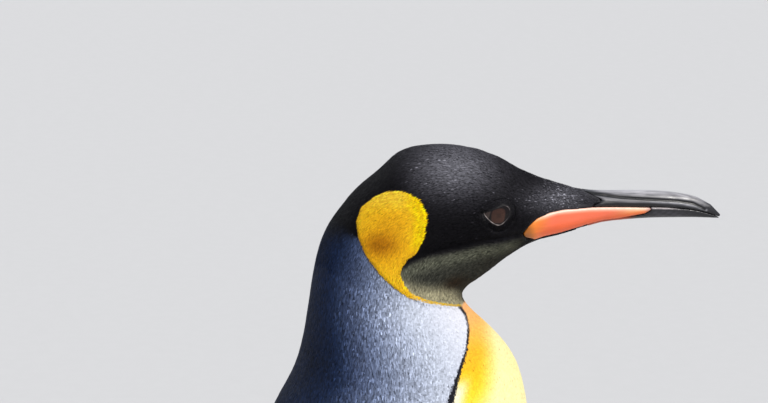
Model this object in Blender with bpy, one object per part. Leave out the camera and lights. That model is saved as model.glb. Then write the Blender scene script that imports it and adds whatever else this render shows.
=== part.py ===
"""King penguin, a still life-size model that stands upright with its head level.

Metres, +Z up. The bird faces -Y, its mirror plane is X = 0, and it stands on the floor at Z = 0.
Inside this file a place is given in millimetres as (side, forward, height): forward is measured
from below the crown of the head towards the bill, and place() turns it into the frame's metres.
The head, neck and trunk are one long loft through STATIONS, parted by plane cuts, and the bill's
pieces are lengths of that same loft.
"""

import bpy
import bmesh
import math
from collections import namedtuple

import numpy as np
from mathutils import Vector

MM = 0.001

# Driving sizes, in millimetres.
CROWN = 860.0              # height of the crown above the floor
BOX_MIDDLE = 12.4          # forward place of the middle between the bill's tip and the tail's tip
GAP = 0.4                  # clear space between two pieces that meet
EYE_RADIUS = 14.0
EYE_SIDE = 20.6            # the eyeball's centre, from the mirror plane
EYE_FORWARD = 35.5
EYE_DROP = 43.5            # below the crown
FLIPPER_LENGTH = 337.0
FLIPPER_ROOT = (-38.0, 650.0)    # forward, height
FLIPPER_SWEEP = -7.0             # degrees that the flipper's line runs back from straight down
LEG_SIDE = 51.0            # the ankle, from the mirror plane
LEG_FORWARD = -42.0
ANKLE_HEIGHT = 36.0
TAIL_ROOT = (-104.0, 128.0)      # forward, height
TAIL_TIP = (-166.0, 4.0)

# Fineness of the faceted surfaces.
BODY_SEGMENTS = 28
RING_SPACING = {"trunk": 32.0, "neck": 15.0, "head": 8.0}

Station = namedtuple("Station", "name back front half_width widest fullness")

# Each station is a plane section through the body: its rear or upper point and its front or lower
# point, as (forward, height), half its width, how far from the front it is widest (0 to 1), and how
# full its outline is (2 is an ellipse).
STATIONS = [
    Station("vent", (-86, 53), (-28, 50), 28, 0.5, 2.0),
    Station("under_tail", (-104, 66), (0, 63), 58, 0.5, 2.0),
    Station("thighs", (-120, 92), (36, 88), 83, 0.5, 2.1),
    Station("rump", (-132, 130), (60, 124), 99, 0.48, 2.1),
    Station("low_belly", (-139, 185), (76, 180), 109, 0.47, 2.1),
    Station("belly", (-145, 265), (83, 262), 114.5, 0.47, 2.1),
    Station("waist", (-149, 360), (81, 360), 113.5, 0.48, 2.1),
    Station("breast", (-150, 450), (75.5, 450), 108.5, 0.50, 2.1),
    Station("upper_breast", (-147, 530), (69.5, 530), 102, 0.50, 2.1),
    Station("shoulder", (-139, 600), (65, 603), 95, 0.50, 2.1),
    Station("collar", (-126, 648), (61.5, 652), 86.5, 0.50, 2.0),
    Station("neck_low", (-112, CROWN - 176), (60, CROWN - 179), 76.5, 0.50, 2.0),
    Station("neck_swell", (-98.5, CROWN - 150.8), (52, CROWN - 147.3), 68, 0.50, 2.0),
    Station("neck", (-91.4, CROWN - 122), (34, CROWN - 124.8), 60, 0.50, 2.0),
    Station("under_throat", (-88.2, CROWN - 101), (20, CROWN - 111.8), 53, 0.50, 2.05),
    Station("throat", (-84.5, CROWN - 78), (15.5, CROWN - 104), 48.5, 0.52, 2.1),
    Station("low_nape", (-77.8, CROWN - 58), (16.1, CROWN - 99.6), 46, 0.53, 2.2),
    Station("nape", (-67.6, CROWN - 42.2), (17.9, CROWN - 96.8), 44, 0.54, 2.3),
    Station("high_nape", (-54, CROWN - 27.7), (20.8, CROWN - 94.1), 42, 0.54, 2.4),
    Station("occiput", (-40.5, CROWN - 16.6), (25, CROWN - 91.6), 40, 0.53, 2.4),
    Station("back_crown", (-26.5, CROWN - 4.2), (29.8, CROWN - 88.5), 38, 0.52, 2.3),
    Station("crown", (-8, CROWN - 0.1), (35, CROWN - 84.9), 36.5, 0.51, 2.2),
    Station("front_crown", (11, CROWN - 0.4), (40.5, CROWN - 80.5), 35, 0.50, 2.15),
    Station("brow", (27, CROWN - 3.7), (46, CROWN - 76.5), 32.8, 0.49, 2.1),
    Station("forehead", (41, CROWN - 9.3), (51, CROWN - 73.3), 30, 0.47, 2.1),
    Station("lores", (54.3, CROWN - 17.1), (55.6, CROWN - 70.4), 26.3, 0.44, 2.05),
    Station("gape", (67.9, CROWN - 23.0), (60.6, CROWN - 67.9), 22.2, 0.40, 2.05),
    Station("chin", (81.5, CROWN - 27.3), (67.5, CROWN - 65.2), 18.5, 0.37, 2.1),
    Station("bill_root", (95.2, CROWN - 31.2), (78, CROWN - 63.0), 15.2, 0.36, 2.15),
    Station("bill_base", (108, CROWN - 32.4), (93, CROWN - 58.8), 12.4, 0.38, 2.15),
    Station("plate", (122, CROWN - 32.6), (109, CROWN - 54.3), 10.4, 0.42, 2.15),
    Station("mid_bill", (136, CROWN - 32.7), (126, CROWN - 52.6), 9.0, 0.45, 2.1),
    Station("fore_bill", (150, CROWN - 33.4), (142, CROWN - 51.7), 7.8, 0.47, 2.1),
    Station("bill_bend", (163, CROWN - 35.0), (158, CROWN - 51.7), 6.4, 0.5, 2.05),
    Station("nail", (175, CROWN - 37.9), (172, CROWN - 51.8), 4.7, 0.5, 2.0),
    Station("nail_end", (184.5, CROWN - 43.2), (182.5, CROWN - 52.2), 3.0, 0.5, 2.0),
    Station("tip", (191.6, CROWN - 50.6), (191.0, CROWN - 52.8), 1.0, 0.5, 2.0),
]

# The line where the closed bill parts, from the corner of the mouth to the tip.
MOUTH_LINE = [
    (54.0, CROWN - 57.8),
    (57.2, CROWN - 52.6),
    (64.0, CROWN - 47.2),
    (78.0, CROWN - 43.3),
    (100.0, CROWN - 42.3),
    (135.0, CROWN - 43.1),
    (158.0, CROWN - 44.2),
    (175.0, CROWN - 46.7),
    (195.0, CROWN - 53.4),
]
# The edge of the feathers on the side of the upper bill, from the ridge down to the mouth line.
UPPER_FEATHER_EDGE = [(94, CROWN - 25), (97, CROWN - 32.6), (109, CROWN - 37.8), (101, CROWN - 42.3)]
# Between the plates, the chin's feathers run forward to a line down from the same place.
CHIN_EDGE = [UPPER_FEATHER_EDGE[-1], (96, CROWN - 80)]
# The edge of the feathers round the rear of the lower bill's plates, from the mouth's corner down.
PLATE_REAR = [(56, CROWN - 60.8), (61.5, CROWN - 62.8), (66, CROWN - 70)]
PLATE_FRONT = [
    (142.4, CROWN - 43.4),
    (143.4, CROWN - 45.2),
    (139.0, CROWN - 48.0),
    (122.0, CROWN - 51.0),
    (112.0, CROWN - 60.0),
]
BEYOND_TIP = 205.0         # a forward place clear of the bill's tip
PLATE_INNER = (13.0, 2.6)  # how far the plates' inner faces stand from the mirror plane, rear to front

# Flipper sections: distance down from the shoulder, leading edge and trailing edge as forward
# places from the flipper's line, thickness, and the section's place out from the mirror plane.
FLIPPER = [
    (0, 20, -24, 26, 76),
    (28, 30, -32, 24, 91),
    (62, 38, -38, 19, 103),
    (105, 39, -42, 15, 112),
    (155, 35, -43, 12.5, 117.5),
    (205, 28, -41, 10.5, 121),
    (250, 19, -38, 8.5, 123.5),
    (290, 8, -34, 6.5, 125.5),
    (318, -4, -31, 5, 127),
    (333, -13, -28, 3.6, 128),
    (FLIPPER_LENGTH, -18, -25, 2.4, 128.3),
]

# The tail's sections: share of its length, half its width and its thickness.
TAIL = [
    (0.0, 34, 38),
    (0.3, 37, 30),
    (0.55, 35, 21),
    (0.75, 28, 13),
    (0.9, 18, 7.5),
    (0.98, 8, 4.2),
]

# The tarsus from the floor up: height, forward place from the ankle, and radius.
TARSUS = [(-3.0, 11, 17), (9.0, 8, 18), (21.0, 0, 16), (ANKLE_HEIGHT, -8, 15)]
# The feathered shank from the ankle up into the belly.
SHANK = [(ANKLE_HEIGHT + GAP, -8, 17), (46, -7, 20), (60, -5, 27), (80, -3, 34), (105, -3, 40)]

Toe = namedtuple("Toe", "root root_radius end end_radius arch claw claw_tip_height")
# Each toe's root and end are out from the ankle, ahead of it and above the floor. It rises by its
# arch between them, and it carries a claw of the given length.
TOES = {
    "inner": Toe((-2, 10, 10), 11.0, (-19, 72, 5.4), 7.4, 2.5, 20.0, 1.6),
    "middle": Toe((1, 10, 10), 11.0, (8, 90, 6.0), 8.0, 2.5, 23.0, 1.6),
    "outer": Toe((4.5, 10, 10), 11.0, (38, 78, 5.4), 7.4, 2.5, 20.0, 1.6),
    "hind": Toe((-5, 10, 8), 6.0, (-19, -5, 8.5), 4.2, 0.0, 10.0, 6.0),
}
CLAW_ROOT = 0.72           # a claw's root radius as a share of its toe's
CLAW_POINT = 0.45          # its radius at the tip
WEB_THICKNESS = 4.5
WEB_REACH = 0.92           # how far along the toes the web's corners lie, as a share
WEB_HOLLOW = 0.88          # how far its edge lies midway between two toes, as a share of the corners

SIDES = {"left": 1, "right": -1}


def place(side, forward, height):
    """A point in the frame's metres from a place in millimetres."""
    return Vector((side, BOX_MIDDLE - forward, height)) * MM


def clear_scene():
    for obj in list(bpy.data.objects):
        bpy.data.objects.remove(obj)


def make_material(name, colour, roughness):
    material = bpy.data.materials.new(name)
    material.use_nodes = True
    shader = material.node_tree.nodes["Principled BSDF"]
    shader.inputs["Base Color"].default_value = (*colour, 1.0)
    shader.inputs["Roughness"].default_value = roughness
    shader.inputs["Metallic"].default_value = 0.0
    material.diffuse_color = (*colour, 1.0)
    return material


def add_object(name, bm, material):
    """Closes a bmesh into a named object with outward normals."""
    bmesh.ops.recalc_face_normals(bm, faces=bm.faces)
    mesh = bpy.data.meshes.new(name)
    bm.to_mesh(mesh)
    bm.free()
    mesh.materials.append(material)
    mesh.shade_smooth()
    mesh.set_sharp_from_angle(angle=math.radians(40))
    obj = bpy.data.objects.new(name, mesh)
    bpy.context.scene.collection.objects.link(obj)
    return obj


def combine(obj, other, operation):
    """Adds a Boolean with another shape, which becomes a hidden helper."""
    other.hide_render = True
    other.display_type = "WIRE"
    modifier = obj.modifiers.new(f"{operation.lower()}_{other.name}", "BOOLEAN")
    modifier.operation = operation
    modifier.object = other
    modifier.solver = "EXACT"


def bridge_rings(rings):
    """A closed bmesh through rings of points, with a flat cap on each end."""
    bm = bmesh.new()
    rows = [[bm.verts.new(point) for point in ring] for ring in rings]
    count = len(rows[0])
    for low, high in zip(rows, rows[1:]):
        for i in range(count):
            j = (i + 1) % count
            bm.faces.new((low[i], low[j], high[j], high[i]))
    bm.faces.new(rows[0])
    bm.faces.new(rows[-1])
    return bm


def circle(count):
    """The sine and cosine of equal steps round a circle."""
    steps = [2 * math.pi * i / count for i in range(count)]
    return [(math.cos(a), math.sin(a)) for a in steps]


def smooth_rows(rows, knots, t):
    """A smooth curve through rows of numbers, each with its knot, read at t."""
    i = min(max(int(np.searchsorted(knots, t, side="right")) - 1, 0), len(rows) - 2)

    def slope(k):
        if k in (0, len(rows) - 1):
            a = max(k - 1, 0)
            return (rows[a + 1] - rows[a]) / (knots[a + 1] - knots[a])
        before = (rows[k] - rows[k - 1]) / (knots[k] - knots[k - 1])
        after = (rows[k + 1] - rows[k]) / (knots[k + 1] - knots[k])
        share = (knots[k] - knots[k - 1]) / (knots[k + 1] - knots[k - 1])
        return before * (1 - share) + after * share

    step = knots[i + 1] - knots[i]
    s = (t - knots[i]) / step
    return (
        (2 * s**3 - 3 * s**2 + 1) * rows[i]
        + (s**3 - 2 * s**2 + s) * step * slope(i)
        + (3 * s**2 - 2 * s**3) * rows[i + 1]
        + (s**3 - s**2) * step * slope(i + 1)
    )


def curve_points(points, count):
    """The smooth curve through points in side view, cut into equal steps."""
    rows = np.array(points, float)
    knots = np.concatenate([[0], np.cumsum(np.hypot(*np.diff(rows, axis=0).T))])
    return [tuple(smooth_rows(rows, knots, t)) for t in np.linspace(0, knots[-1], count)]


STATION_ROWS = np.array([(*s.back, *s.front, s.half_width, s.widest, s.fullness) for s in STATIONS])
STATION_MOVES = np.diff(STATION_ROWS[:, :4], axis=0)
# How far along the body each station lies, in millimetres along its middle.
STATION_KNOTS = np.concatenate(
    [[0], np.cumsum((np.hypot(*STATION_MOVES[:, :2].T) + np.hypot(*STATION_MOVES[:, 2:].T)) / 2)]
)


def knot(name):
    return STATION_KNOTS[[s.name for s in STATIONS].index(name)]


def body_ring(t, grow=0.0, push=0.0):
    """The body's section at t as points. grow swells it, and push moves it along the body."""
    back_f, back_h, front_f, front_h, half_width, widest, fullness = smooth_rows(
        STATION_ROWS, STATION_KNOTS, t
    )
    back, front = np.array((back_f, back_h)), np.array((front_f, front_h))
    rear = (back - front) / np.linalg.norm(back - front)
    onward = np.array((rear[1], -rear[0]))
    back = back + rear * grow + onward * push
    front = front - rear * grow + onward * push
    points = []
    for c, s in circle(BODY_SEGMENTS):
        reach = abs(c) ** (2 / fullness)
        along = widest * (1 - reach) if c > 0 else widest + (1 - widest) * reach
        side = math.copysign(abs(s) ** (2 / fullness), s) * (half_width + grow)
        forward, height = front + (back - front) * along
        points.append(place(side, forward, height))
    return points


def body_loft(first, last, spacing, grow=0.0, gap=GAP):
    """The body from one named station to another, drawn in by half the gap at both ends."""
    start, end = knot(first), knot(last)
    marks = [start, *[k for k in STATION_KNOTS if start < k < end], end]
    places = [start]
    for a, b in zip(marks, marks[1:]):
        count = max(1, round((b - a) / spacing))
        places += [a + (b - a) * (i + 1) / count for i in range(count)]
    pushes = {start: gap / 2, end: -gap / 2}
    return bridge_rings([body_ring(t, grow, pushes.get(t, 0.0)) for t in places])


def side_prism(name, outline, near, far, material):
    """A closed outline in side view, as (forward, height), carried across from near to far.

    near and far are distances from the mirror plane, or functions of the forward place that give
    them along a straight line.
    """
    rings = []
    for reach in (near, far):
        rings.append([place(reach(f) if callable(reach) else reach, f, h) for f, h in outline])
    return add_object(name, bridge_rings(rings), material)


def drawn_in(outline, distance):
    """The outline with every edge moved inwards."""
    points = np.array(outline, float)
    following = np.roll(points, -1, 0)
    area = np.sum(points[:, 0] * following[:, 1] - following[:, 0] * points[:, 1])
    moved = []
    for before, here, after in zip(np.roll(points, 1, 0), points, following):
        normals = []
        for a, b in ((before, here), (here, after)):
            edge = (b - a) / np.linalg.norm(b - a)
            normals.append(math.copysign(1, area) * np.array((-edge[1], edge[0])))
        bisector = normals[0] + normals[1]
        moved.append(tuple(here + bisector * (2 * distance / (bisector @ bisector))))
    return moved


def make_trunk(material):
    add_object("trunk", body_loft("vent", "collar", RING_SPACING["trunk"]), material)


def make_neck(material):
    add_object("neck", body_loft("collar", "throat", RING_SPACING["neck"]), material)


def make_clearance(material):
    """The trunk and neck swollen by the gap, which trims what grows out of them."""
    bm = body_loft("vent", "neck", RING_SPACING["trunk"], grow=GAP, gap=0.0)
    return add_object("trunk_clearance", bm, material)


def bill_outlines():
    """Side outlines of the upper bill, the lower bill ahead of the chin, and a plate."""
    mouth = curve_points(MOUTH_LINE, 26)
    mouth_ahead = [p for p in mouth if p[0] > UPPER_FEATHER_EDGE[-1][0] + 2]
    upper = [*UPPER_FEATHER_EDGE, *mouth_ahead, (BEYOND_TIP, CROWN - 54), (BEYOND_TIP, CROWN - 20)]
    lower = [*reversed(CHIN_EDGE), *mouth_ahead, (BEYOND_TIP, CROWN - 55), (BEYOND_TIP, CROWN - 80)]
    plate = [
        *[p for p in mouth if p[0] < PLATE_FRONT[0][0] - 1],
        *PLATE_FRONT,
        (100, CROWN - 80),
        *reversed(PLATE_REAR),
    ]
    return upper, lower, plate


def plate_inner(sign, gap=0.0):
    """The plane of a plate's inner face, as its distance from the mirror plane at a forward place."""
    rear, front = PLATE_REAR[0][0], PLATE_FRONT[0][0]
    slope = (PLATE_INNER[1] - PLATE_INNER[0]) / (front - rear)
    return lambda forward: sign * (PLATE_INNER[0] + slope * (forward - rear) + gap)


def whole_head(name, material):
    return add_object(name, body_loft("throat", "tip", RING_SPACING["head"]), material)


def make_eyeball(name, sign, radius, material):
    bm = bmesh.new()
    bmesh.ops.create_uvsphere(bm, u_segments=16, v_segments=10, radius=radius * MM)
    centre = place(sign * EYE_SIDE, EYE_FORWARD, CROWN - EYE_DROP)
    bmesh.ops.translate(bm, verts=bm.verts, vec=centre)
    return add_object(name, bm, material)


def make_head(material):
    """The feathered head, open where the bill leaves it and hollowed for the eyeballs."""
    head = whole_head("head", material)
    _, _, plate = bill_outlines()
    ahead = [*UPPER_FEATHER_EDGE, CHIN_EDGE[1], (BEYOND_TIP, CROWN - 80), (BEYOND_TIP, CROWN - 20)]
    combine(head, side_prism("bill_space", ahead, -60, 60, material), "DIFFERENCE")
    for side, sign in SIDES.items():
        room = side_prism(f"plate_space_{side}", plate, plate_inner(sign), sign * 60, material)
        combine(head, room, "DIFFERENCE")
        socket = make_eyeball(f"socket_{side}", sign, EYE_RADIUS + GAP, material)
        combine(head, socket, "DIFFERENCE")


def make_bill(horn, plate_material):
    """The bill's pieces, each a length of the whole head's loft."""
    upper, lower, plate = bill_outlines()
    upper_bill = whole_head("bill_upper", horn)
    keep = side_prism("upper_keep", drawn_in(upper, GAP), -60, 60, horn)
    combine(upper_bill, keep, "INTERSECT")
    lower_bill = whole_head("bill_lower", horn)
    keep = side_prism("lower_keep", drawn_in(lower, GAP), -60, 60, horn)
    combine(lower_bill, keep, "INTERSECT")
    for side, sign in SIDES.items():
        room = side_prism(f"plate_room_{side}", plate, plate_inner(sign), sign * 60, horn)
        combine(lower_bill, room, "DIFFERENCE")
        plate_solid = whole_head(f"bill_plate_{side}", plate_material)
        inner = plate_inner(sign, GAP)
        keep = side_prism(f"plate_keep_{side}", drawn_in(plate, GAP), inner, sign * 60, horn)
        combine(plate_solid, keep, "INTERSECT")


def make_flipper(side, sign, clearance, material):
    """A flat, stiff flipper that hangs by the flank, thicker along its leading edge."""
    rows = np.array(FLIPPER, float)
    sweep = math.radians(FLIPPER_SWEEP)
    rings = []
    for t in np.linspace(0, 1, 14) ** 0.9 * FLIPPER_LENGTH:
        down, lead, trail, thick, out = smooth_rows(rows, rows[:, 0], t)
        ring = []
        for c, s in circle(16):
            chord = (lead + trail) / 2 + (lead - trail) / 2 * c
            depth = thick / 2 * s * (1 + 0.3 * c)
            forward = FLIPPER_ROOT[0] + down * math.sin(sweep) + chord * math.cos(sweep)
            height = FLIPPER_ROOT[1] - down * math.cos(sweep) + chord * math.sin(sweep)
            ring.append(place(sign * (out + depth), forward, height))
        rings.append(ring)
    flipper = add_object(f"wing_{side}", bridge_rings(rings), material)
    combine(flipper, clearance, "DIFFERENCE")


def make_tail(clearance, material):
    """A short wedge of stiff feathers, from the rump down to just above the floor."""
    root, tip = np.array(TAIL_ROOT), np.array(TAIL_TIP)
    run = (tip - root) / np.linalg.norm(tip - root)
    across = np.array((-run[1], run[0]))
    rings = []
    for share, half_width, thick in TAIL:
        middle = root + (tip - root) * share
        ring = []
        for c, s in circle(18):
            forward, height = middle + across * (thick / 2 * s)
            ring.append(place(half_width * c, forward, height))
        rings.append(ring)
    tail = add_object("tail", bridge_rings(rings), material)
    combine(tail, clearance, "DIFFERENCE")


def leg_rings(sections, sign):
    """Upright oval rings about the ankle, each 1.2 times as long as it is wide."""
    rings = []
    for height, ahead, radius in sections:
        rings.append(
            [
                place(
                    sign * LEG_SIDE + radius * c,
                    LEG_FORWARD + ahead + 1.2 * radius * s,
                    height,
                )
                for c, s in circle(16)
            ]
        )
    return rings


def make_leg(side, sign, clearance, material):
    leg = add_object(f"leg_{side}", bridge_rings(leg_rings(SHANK, sign)), material)
    combine(leg, clearance, "DIFFERENCE")


def make_toe(name, root, end, toe, material):
    """A tapering round bar from root to end, each a place, arched a little upwards."""
    run = (end - root)[:2] / np.linalg.norm((end - root)[:2])
    rings = []
    for share in np.linspace(0, 1, 5):
        radius = toe.root_radius + (toe.end_radius - toe.root_radius) * share
        x, f, h = root + (end - root) * share + (0, 0, toe.arch * math.sin(math.pi * share))
        ring = []
        for c, s in circle(10):
            ring.append(place(x - run[1] * radius * c, f + run[0] * radius * c, h + radius * s))
        rings.append(ring)
    return add_object(name, bridge_rings(rings), material)


def make_claw(name, root, tip, radius, material):
    """A claw that curves down from the toe's end to its tip."""
    run = tip - root
    flat = run[:2] / np.linalg.norm(run[:2])
    rings = []
    for share in (0.0, 0.3, 0.6, 0.85, 1.0):
        x, f, _ = root + run * share
        middle = root[2] + run[2] * share**1.8
        size = radius * (1 - share) ** 0.62 + CLAW_POINT
        ring = []
        for c, s in circle(8):
            across = 0.85 * size * c
            height = max(middle + size * s, GAP)
            ring.append(place(x - flat[1] * across, f + flat[0] * across, height))
        rings.append(ring)
    add_object(name, bridge_rings(rings), material)


def make_web(side, ankle, ends, material):
    """The web between the three forward toes, hollowed between their ends."""
    corners = [ankle + (ends[toe] - ankle) * WEB_REACH for toe in ("outer", "middle", "inner")]
    outline = [ankle + (0, 4, 0), corners[0]]
    for near, far in zip(corners, corners[1:]):
        outline.append(ankle + ((near + far) / 2 - ankle) * WEB_HOLLOW)
        outline.append(far)
    rings = [[place(x, f, height) for x, f, _ in outline] for height in (-3.0, WEB_THICKNESS)]
    return add_object(f"web_{side}", bridge_rings(rings), material)


def make_foot(side, sign, skin, claw_material):
    """A webbed foot with three forward toes and a small hind toe, flat underneath, and its claws."""
    ankle = np.array((sign * LEG_SIDE, LEG_FORWARD, 0.0))
    outward = np.array((sign, 1, 1))
    foot = add_object(f"foot_{side}", bridge_rings(leg_rings(TARSUS, sign)), skin)
    ends = {}
    for name, toe in TOES.items():
        root, end = ankle + outward * toe.root, ankle + outward * toe.end
        ends[name] = end
        combine(foot, make_toe(f"toe_{name}_{side}", root, end, toe, skin), "UNION")
        run = (end - root) * (1, 1, 0)
        run /= np.linalg.norm(run)
        tip = end + run * (GAP + toe.claw)
        tip[2] = toe.claw_tip_height
        radius = CLAW_ROOT * toe.end_radius
        make_claw(f"claw_{side}_{name}", end + run * GAP, tip, radius, claw_material)
    combine(foot, make_web(side, ankle, ends, skin), "UNION")
    combine(foot, make_floor(side, skin), "DIFFERENCE")


def make_floor(side, material):
    """A block under the floor's level, which cuts the sole flat."""
    corners = ((-250, -250), (250, -250), (250, 250), (-250, 250))
    rings = [[place(x, f, height) for x, f in corners] for height in (-40.0, 0.0)]
    return add_object(f"floor_{side}", bridge_rings(rings), material)


def main():
    clear_scene()
    black = make_material("black_feathers", (0.012, 0.012, 0.014), 0.6)
    grey = make_material("slate_feathers", (0.20, 0.23, 0.30), 0.6)
    white = make_material("white_feathers", (0.80, 0.79, 0.76), 0.65)
    horn = make_material("black_horn", (0.02, 0.02, 0.022), 0.35)
    orange = make_material("orange_plate", (0.85, 0.20, 0.06), 0.3)
    iris = make_material("brown_eye", (0.06, 0.03, 0.02), 0.1)
    skin = make_material("foot_skin", (0.025, 0.024, 0.026), 0.55)
    claw = make_material("claw_horn", (0.015, 0.014, 0.014), 0.4)

    clearance = make_clearance(white)
    make_trunk(white)
    make_neck(grey)
    make_head(black)
    make_bill(horn, orange)
    make_tail(clearance, black)
    for side, sign in SIDES.items():
        make_eyeball(f"eye_{side}", sign, EYE_RADIUS, iris)
        make_flipper(side, sign, clearance, grey)
        make_leg(side, sign, clearance, black)
        make_foot(side, sign, skin, claw)


main()
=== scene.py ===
import math

import bmesh
import bpy
import numpy as np
from bpy.props import FloatProperty, FloatVectorProperty, IntProperty, PointerProperty
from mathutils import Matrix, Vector
from mathutils.bvhtree import BVHTree


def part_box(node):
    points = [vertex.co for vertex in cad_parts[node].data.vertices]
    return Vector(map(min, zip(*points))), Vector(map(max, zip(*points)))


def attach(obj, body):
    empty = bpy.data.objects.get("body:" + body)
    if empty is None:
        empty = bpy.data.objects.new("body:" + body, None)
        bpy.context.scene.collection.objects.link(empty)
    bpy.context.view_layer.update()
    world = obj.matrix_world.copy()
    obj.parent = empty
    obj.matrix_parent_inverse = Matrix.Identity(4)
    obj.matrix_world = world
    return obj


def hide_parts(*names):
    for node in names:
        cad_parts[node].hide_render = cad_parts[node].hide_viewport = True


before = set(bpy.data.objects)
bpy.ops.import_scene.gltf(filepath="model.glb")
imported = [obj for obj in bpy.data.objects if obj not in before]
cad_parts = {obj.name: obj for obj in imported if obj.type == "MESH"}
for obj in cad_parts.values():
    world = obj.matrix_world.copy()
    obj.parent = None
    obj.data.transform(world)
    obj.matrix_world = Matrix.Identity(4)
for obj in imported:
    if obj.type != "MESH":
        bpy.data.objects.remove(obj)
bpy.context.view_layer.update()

bl_info = {
    "name": "King Penguin",
    "version": (1, 0, 0),
    "blender": (4, 5, 0),
    "location": "3D View > Sidebar > Penguin",
    "description": "Skin, feathers, eyes, bill, feet and stage of a life-size king penguin",
    "category": "Object",
}

# Places on the bird are given in millimetres as (forward, drop): forward from below the crown
# towards the bill, and drop down from the crown. A third number, side, is out from the mirror plane.
# Meshes and distances between them are in metres.
CROWN_HEIGHT = 860.0
CROWN_PLACE = 12.4
SIDES = {"left": 1, "right": -1}

FLESH = ["trunk", "neck", "head", "tail", "wing_left", "wing_right"]
FLESH += ["leg_left", "leg_right", "foot_left", "foot_right"]
BILL = ["bill_upper", "bill_lower", "bill_plate_left", "bill_plate_right"]
HARD = [*BILL, "eye_left", "eye_right"]
CLAWS = [f"claw_{side}_{toe}" for side in SIDES for toe in ("inner", "middle", "outer", "hind")]

# The eyeball, as its solid has it.
EYE_CENTRE = (20.6, 35.5, 43.5)     # side, forward, drop
EYE_RADIUS = 14.0

# The line that the coat lies along, from the bill's root over the head and down to the vent.
LIE_LINE = [
    (120, 45), (70, 45), (30, 42), (0, 42), (-24, 52), (-37, 75), (-37, 105), (-33, 150),
    (-32, 220), (-35, 400), (-38, 600), (-62, 800),
]
# The body's outline in side view, as (drop, forward), down the back and down the front.
BACK_LINE = [(40, -67), (58, -78), (78, -85), (101, -88), (122, -91), (151, -98), (176, -112),
             (212, -126), (260, -139), (330, -147), (500, -149), (675, -139), (770, -110)]
FRONT_LINE = [(98, 17), (104, 15), (112, 20), (125, 34), (147, 52), (179, 60), (210, 61.5),
              (330, 69.5), (500, 81), (600, 83), (680, 76), (770, 36)]

# The golden patch behind the cheek, and the yellow line that runs from it to the throat.
PATCH = [
    (-38.4, 26.8), (-29.3, 25.6), (-22.8, 27.3), (-16.3, 31.4), (-11.7, 39.9), (-11.5, 45.8),
    (-13.9, 57.6), (-18.7, 66.1), (-24.8, 69.9), (-28.9, 75.7), (-30.0, 79.6), (-27.0, 87.7),
    (-21.0, 93.6), (-14.0, 96.9), (-6.0, 99.7), (3.0, 102.2), (12.6, 105.2), (12.4, 106.3),
    (3.5, 103.6), (-6.0, 101.3), (-15.5, 98.7), (-24.0, 95.0), (-30.4, 90.6), (-37.1, 85.3),
    (-43.7, 78.7), (-52.7, 66.5), (-57.0, 55.3), (-58.0, 45.6), (-54.3, 37.0), (-45.6, 30.1),
]
# The edge of the black hood, from the nape down behind the patch to the throat and round ahead.
HOOD = [
    (-130, 57), (-64, 55), (-57, 57), (-52.7, 66.5), (-43.7, 78.7), (-30.4, 90.1), (-18, 97),
    (-3, 101.7), (11.8, 106.7), (30, 110), (230, 110), (230, -40), (-130, -40),
]
# The fold below the cheek, above the olive throat, and the top of the throat's pale band.
CHEEK_FOLD = [(-34, 76), (-22, 70), (-11, 66.4), (1, 64.8), (13, 63.3), (25, 61), (38, 60.4),
              (55, 57.5)]
PALE_BAND = [(-34, 82), (-27.6, 82), (-20, 85.4), (-10, 87.5), (0.6, 88.7), (8, 91.4), (14.7, 99)]
# The black line between the silver side and the front, and its width at a drop.
BLACK_LINE = [
    (11.8, 107), (16.2, 113), (17.2, 119), (14.4, 131), (8.9, 142.8), (4.4, 155), (-1, 172),
    (-8, 205), (-14, 260), (-20, 340), (-28, 440), (-42, 560), (-60, 650), (-84, 720), (-106, 770),
]
BLACK_WIDTH = [(107, 1.4), (116, 0.9), (128, 1.3), (145, 2.3), (160, 3.8), (190, 8), (240, 12),
               (600, 12), (700, 8), (770, 4)]
FRONT_ZONE = [*BLACK_LINE, (-115, 900), (400, 900), (400, 107)]

# The opening between the eyelids, and the dark fold between the iris and the corner.
EYELIDS = [
    (27.2, 41.6), (31.4, 39.9), (36.0, 38.2), (40.4, 36.9), (43.6, 38.4), (44.1, 42.0),
    (41.6, 46.4), (37.0, 49.5), (31.6, 47.0),
]
EYE_FRONT = 24.0                    # nearer the mirror plane than this the eyeball never shows
IRIS_CENTRE = (36.4, 43.3)
IRIS_HALF = (4.8, 5.2)

# Lines on the side of the bill.
NOSE_GROOVE = [(99.6, 33.4), (110, 34.7), (121.5, 36.2), (142, 37.9), (161, 39.6), (172, 41.6),
               (180, 45.7)]
PALE_STRIP = [(124, 38.4), (138, 39.5), (154, 40.3), (165, 41.7), (174, 43.8), (181, 46.6)]
# The plate's height below the mouth, as (forward, height).
PLATE_HEIGHT = [(56, 4), (66, 14), (94, 13), (122, 7), (143, 2.5)]
MOUTH_LINE = [(54, 57.8), (57.2, 52.6), (64, 47.2), (78, 43.3), (100, 42.3), (135, 43.1), (158, 44.2),
              (175, 46.7), (195, 53.4)]

# Down the wing: where it starts, its length, and how far its leading edge lies ahead of its middle,
# as (share of the length, distance).
WING_TOP = 210
WING_LENGTH = 337
WING_LEAD = [(0, 22), (0.3, 39), (0.6, 28), (0.85, 10), (1.0, -16)]

# Soft mounds of tone or height, each as its centre and its reach in forward and drop.
# The crown, lore and cheek mounds place a grey sheen on the black hood: a painted highlight.
CROWN_SHEEN = ((8, 12), (34, 20))
LORE_SHEEN = ((80, 35), (26, 11))
CHEEK_SHEEN = ((42, 57), (14, 6))
# A painted shadow in the notch where the chin overhangs the neck.
THROAT_NOTCH_SHADOW = ((8, 89), (8, 4.5))
AMBER_HEART = ((-43, 60), (12, 8))
AMBER_ABOVE = ((-35, 47), (13, 9))
NAPE_SHADOW = ((-80, 142), (20, 24))
EYE_HOLLOW = ((36, 44), (15, 10))
BROW = ((36, 31), (14, 5))
TEMPLE = ((4, 48), (22, 12))
LORE_FLECKS = ((80, 35), (18, 8))
THROAT_FOLD = ((14, 104), (12, 10))

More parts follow.
